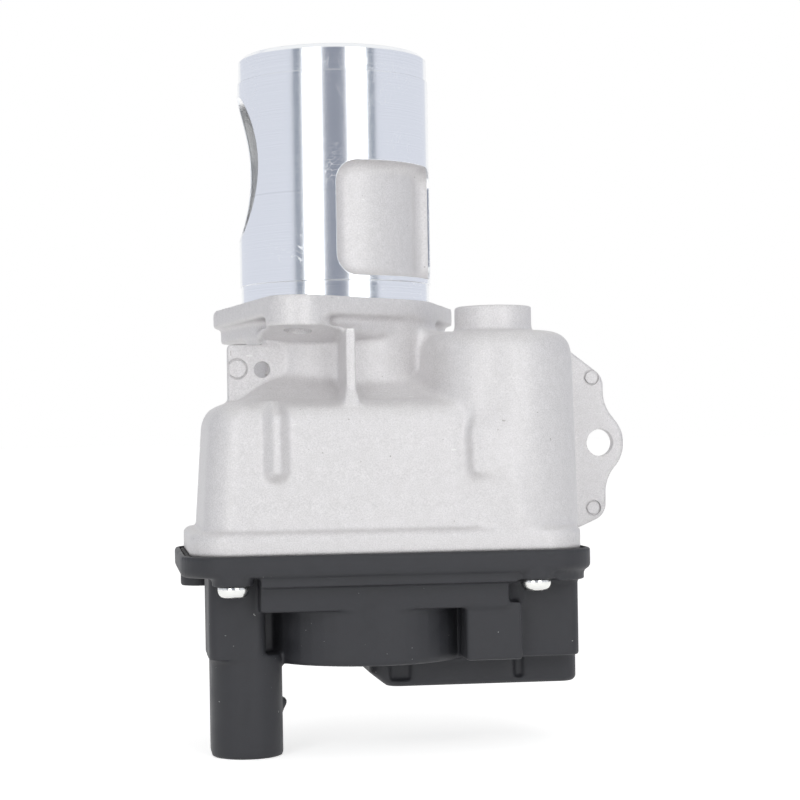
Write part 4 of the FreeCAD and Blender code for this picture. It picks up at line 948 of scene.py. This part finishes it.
scribed = between(turned, calculate(turned, "ABSOLUTE", level_gap), 1, 0, 0.04 * MM, 0.14 * MM)
marks = calculate(turned, "MULTIPLY", hair, 0.5)
skin, grain, mottle = cast_skin(turned)
metal = colours(turned, fine_rings, (0.8, 0.82, 0.85), (0.94, 0.955, 0.97), 0.3, 0.7)
metal = layered(turned, marks, metal, (0.98, 0.98, 0.98))
metal = layered(turned, calculate(turned, "MULTIPLY", scribed, 0.3), metal, (0.5, 0.52, 0.55))
metal = layered(turned, milled, metal, (0.96, 0.965, 0.97))
feed(turned, layered(turned, recess, metal, skin), "Base Color")
dull = blended(turned, marks, between(turned, fine_rings, 0.12, 0.22), 0.5)
dull = blended(turned, milled, dull, 0.25)
feed(turned, blended(turned, recess, dull, between(turned, grain, 0.42, 0.62)), "Roughness")
feed(turned, blended(turned, recess, 1.0, 0.35), "Metallic")
skin_height = calculate(turned, "MULTIPLY", grain, recess)
ring_height = calculate(turned, "MULTIPLY", fine_rings, calculate(turned, "SUBTRACT", 1.0, recess))
bumps(turned, [(ring_height, 0.002), (skin_height, 0.03)], edge=0.3)
dressed([nodes["valve_tube"]], turned)
print("tube wears", turned.name)

# %% [markdown]
# Black glass-filled plastic. The cover's die is spark eroded, which gives a dull even grain.
# A little mottle in the roughness keeps the large faces from looking painted, and pale dust
# sits on it in single grains, as it does on every black part that has been handled.

# %% Black plastic
black = finish("black_plastic", (0.028, 0.029, 0.034), 0.0, 0.55)
tooth = noise(black, 2400, 2)
cloud = noise(black, 160, 3)
dust = between(black, noise(black, 1500, 0), 0, 0.5, 0.87, 0.89)
shade = colours(black, cloud, (0.025, 0.026, 0.031), (0.033, 0.034, 0.04))
feed(black, layered(black, dust, shade, (0.6, 0.6, 0.58)), "Base Color")
feed(black, between(black, cloud, 0.48, 0.62), "Roughness")
bumps(black, [(tooth, 0.025)], edge=0.3)
dressed([cover], black)
print("cover wears", black.name)

# %% [markdown]
# Plated and bare steels. They differ in colour, in how far they mirror, and in the direction
# of their lines: turned pieces have rings round their own axis, sheet pieces a rolled grain
# along one side, and wire has lines along its draw. One recipe takes these as its settings.

# %% Metals
def metal_finish(name, dark, light, smooth, dull, scale, height, stretch=(1, 1, 1), axis=None, edge=0.15):
    """A bare or plated metal whose grain follows its making."""
    metal = finish(name, light, 1.0, dull)
    place = turned_place(metal, axis)[0] if axis else None
    lines = noise(metal, scale, 3, stretch=stretch, rough=0.6, place=place)
    stain = noise(metal, 260, 3)
    shade = colours(metal, lines, dark, light)
    feed(metal, layered(metal, between(metal, stain, 0, 0.3, 0.45, 0.8), shade, dark), "Base Color")
    feed(metal, between(metal, lines, smooth, dull), "Roughness")
    bumps(metal, [(lines, height)], edge=edge)
    return metal


TUBE_AXIS = (0, 0)
MOTOR_AXIS = (MOTOR_X, MOTOR_Y)
zinc = metal_finish("zinc_plate", (0.74, 0.745, 0.73), (0.84, 0.84, 0.81), 0.16, 0.26, 900, 0.002,
                    edge=0.3)
seat_steel = metal_finish("seat_steel", (0.5, 0.5, 0.49), (0.64, 0.63, 0.61), 0.15, 0.3, 4200, 0.003,
                          axis=TUBE_AXIS)
valve_steel = metal_finish("valve_steel", (0.42, 0.41, 0.4), (0.6, 0.59, 0.57), 0.18, 0.34, 3600, 0.003,
                           axis=TUBE_AXIS)
guide_bronze = metal_finish("guide_bronze", (0.5, 0.31, 0.15), (0.68, 0.46, 0.24), 0.28, 0.5, 2600,
                            0.006, axis=TUBE_AXIS)
can_steel = metal_finish("can_steel", (0.55, 0.56, 0.56), (0.7, 0.71, 0.7), 0.22, 0.4, 500, 0.004,
                         stretch=(3, 3, 0.2))
ground_pin = metal_finish("ground_pin", (0.6, 0.6, 0.6), (0.74, 0.74, 0.73), 0.08, 0.18, 5000, 0.001,
                          stretch=(1, 1, 3))
pin_metal = metal_finish("pin_metal", (0.7, 0.68, 0.62), (0.84, 0.82, 0.76), 0.16, 0.3, 2200, 0.003,
                         stretch=(2, 2, 0.3))
spring_steel = metal_finish("spring_steel", (0.2, 0.19, 0.18), (0.36, 0.35, 0.33), 0.25, 0.45, 1800, 0.004)
yoke_steel = metal_finish("yoke_steel", (0.46, 0.45, 0.42), (0.6, 0.59, 0.55), 0.25, 0.45, 900, 0.006,
                          stretch=(1, 1, 0.3))
pinion_brass = metal_finish("pinion_brass", (0.62, 0.44, 0.17), (0.82, 0.63, 0.3), 0.16, 0.32, 3000,
                            0.004, axis=MOTOR_AXIS)
print("metals", len(finishes))

# %% [markdown]
# The motor's rotor. Its core is a stack of thin sheets, which shows as level lines half a
# millimetre apart, and its windings are lacquered copper wire laid side by side. A wave
# texture draws both, in level bands one above the other, which a little distortion bends for wire.

# %% Rotor and windings
def banded(name, dark, light, metallic, roughness, pitch, height, bend=0.0):
    """A finish of even bands, one every pitch millimetres."""
    striped = finish(name, light, metallic, roughness)
    wave = add_node(striped, "TexWave", {"Vector": piece_place(striped), "Scale": pi / 10 / (pitch * MM),
                                         "Distortion": bend, "Detail": 2.0},
                    wave_type="BANDS", bands_direction="Z")
    feed(striped, colours(striped, wave.outputs["Fac"], dark, light, 0.1, 0.6), "Base Color")
    feed(striped, between(striped, noise(striped, 600, 3), roughness - 0.08, roughness + 0.1), "Roughness")
    bumps(striped, [(wave.outputs["Fac"], height)])
    return striped


rotor_iron = banded("rotor_iron", (0.2, 0.19, 0.18), (0.45, 0.44, 0.42), 1.0, 0.4, 0.5, 0.03)
winding_copper = banded("winding_copper", (0.3, 0.1, 0.04), (0.75, 0.33, 0.14), 1.0, 0.3, 0.55, 0.12,
                        bend=0.6)
commutator_copper = banded("commutator_copper", (0.5, 0.28, 0.16), (0.8, 0.5, 0.32), 1.0, 0.25, 0.9, 0.02)
print("motor finishes", len(finishes))

# %% [markdown]
# Plastics, rubber, ferrite, carbon and the circuit board. None of them mirrors, so their looks
# lie in colour, fine grain and how dull they are. The board has pale tracks under its green
# lacquer, drawn by a brick texture, whose mortar lines turn like printed tracks do.

# %% Dull finishes
def dull_finish(name, dark, light, roughness, scale, height, edge=0.15):
    """A finish that doesn't mirror, with fine grain and a soft mottle."""
    matte = finish(name, light, 0.0, roughness)
    grain = noise(matte, scale, 3)
    shade = colours(matte, noise(matte, scale / 6, 3), dark, light)
    feed(matte, shade, "Base Color")
    feed(matte, between(matte, grain, roughness - 0.1, min(1.0, roughness + 0.12)), "Roughness")
    bumps(matte, [(grain, height)], edge=edge)
    return matte


seal_rubber = dull_finish("seal_rubber", (0.016, 0.016, 0.017), (0.03, 0.03, 0.031), 0.7, 2600, 0.012)
cap_plastic = dull_finish("cap_plastic", (0.05, 0.05, 0.054), (0.08, 0.08, 0.084), 0.5, 1800, 0.01)
magnet_ferrite = dull_finish("magnet_ferrite", (0.045, 0.045, 0.048), (0.085, 0.085, 0.088), 0.6, 3200, 0.015)
brush_carbon = dull_finish("brush_carbon", (0.03, 0.03, 0.031), (0.075, 0.072, 0.07), 0.42, 2800, 0.01)
gear_nylon = dull_finish("gear_nylon", (0.66, 0.62, 0.5), (0.76, 0.72, 0.6), 0.38, 900, 0.006)

board_green = finish("board_green", (0.02, 0.16, 0.06), 0.0, 0.3)
tracks = add_node(board_green, "TexBrick", {
    "Vector": piece_place(board_green), "Scale": 520.0, "Mortar Size": 0.06, "Mortar Smooth": 0.2,
    "Row Height": 0.4, "Brick Width": 1.3})
lacquer = colours(board_green, noise(board_green, 800, 2), (0.015, 0.13, 0.05), (0.03, 0.2, 0.08))
feed(board_green, layered(board_green, tracks.outputs["Fac"], lacquer, (0.09, 0.36, 0.14)), "Base Color")
feed(board_green, between(board_green, tracks.outputs["Fac"], 0.28, 0.4, 0, 1), "Roughness")
bumps(board_green, [(tracks.outputs["Fac"], 0.03)], edge=0.1)
print("finishes", len(finishes))

# %% [markdown]
# Who wears what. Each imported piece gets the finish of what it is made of.

# %% Dress the other pieces
wardrobe = [
    (zinc, [screws]),
    (seal_rubber, [gasket]),
    (seat_steel, ["seat_ring"]),
    (valve_steel, ["valve_head", "valve_stem"]),
    (guide_bronze, ["stem_guide", "motor_bushes", "output_bush"]),
    (seal_rubber, ["stem_seal", "cover_gasket"]),
    (can_steel, ["motor_can"]),
    (cap_plastic, ["motor_end_cap"]),
    (magnet_ferrite, ["motor_magnets", "sensor_magnet"]),
    (brush_carbon, ["carbon_brushes"]),
    (ground_pin, ["output_axle", "intermediate_axle", "motor_shaft", "roller_pin", "cam_roller"]),
    (pin_metal, ["connector_pins"]),
    (board_green, ["circuit_board"]),
    (spring_steel, ["return_spring"]),
    (yoke_steel, ["roller_yoke", "spring_retainer"]),
    (gear_nylon, ["output_gear", "intermediate_gear"]),
    (pinion_brass, ["motor_pinion"]),
    (rotor_iron, ["rotor_core"]),
    (winding_copper, ["rotor_windings"]),
    (commutator_copper, ["commutator"]),
    (cast, ["valve_housing"]),
    (black, ["gear_cover"]),
    (zinc, ["cover_screws"]),
]
worn = {"valve_tube"}
for material, names in wardrobe:
    dressed([nodes[item] if isinstance(item, str) else item for item in names], material)
    worn.update(item for item in names if isinstance(item, str))
print("undressed", sorted(set(nodes) - worn))
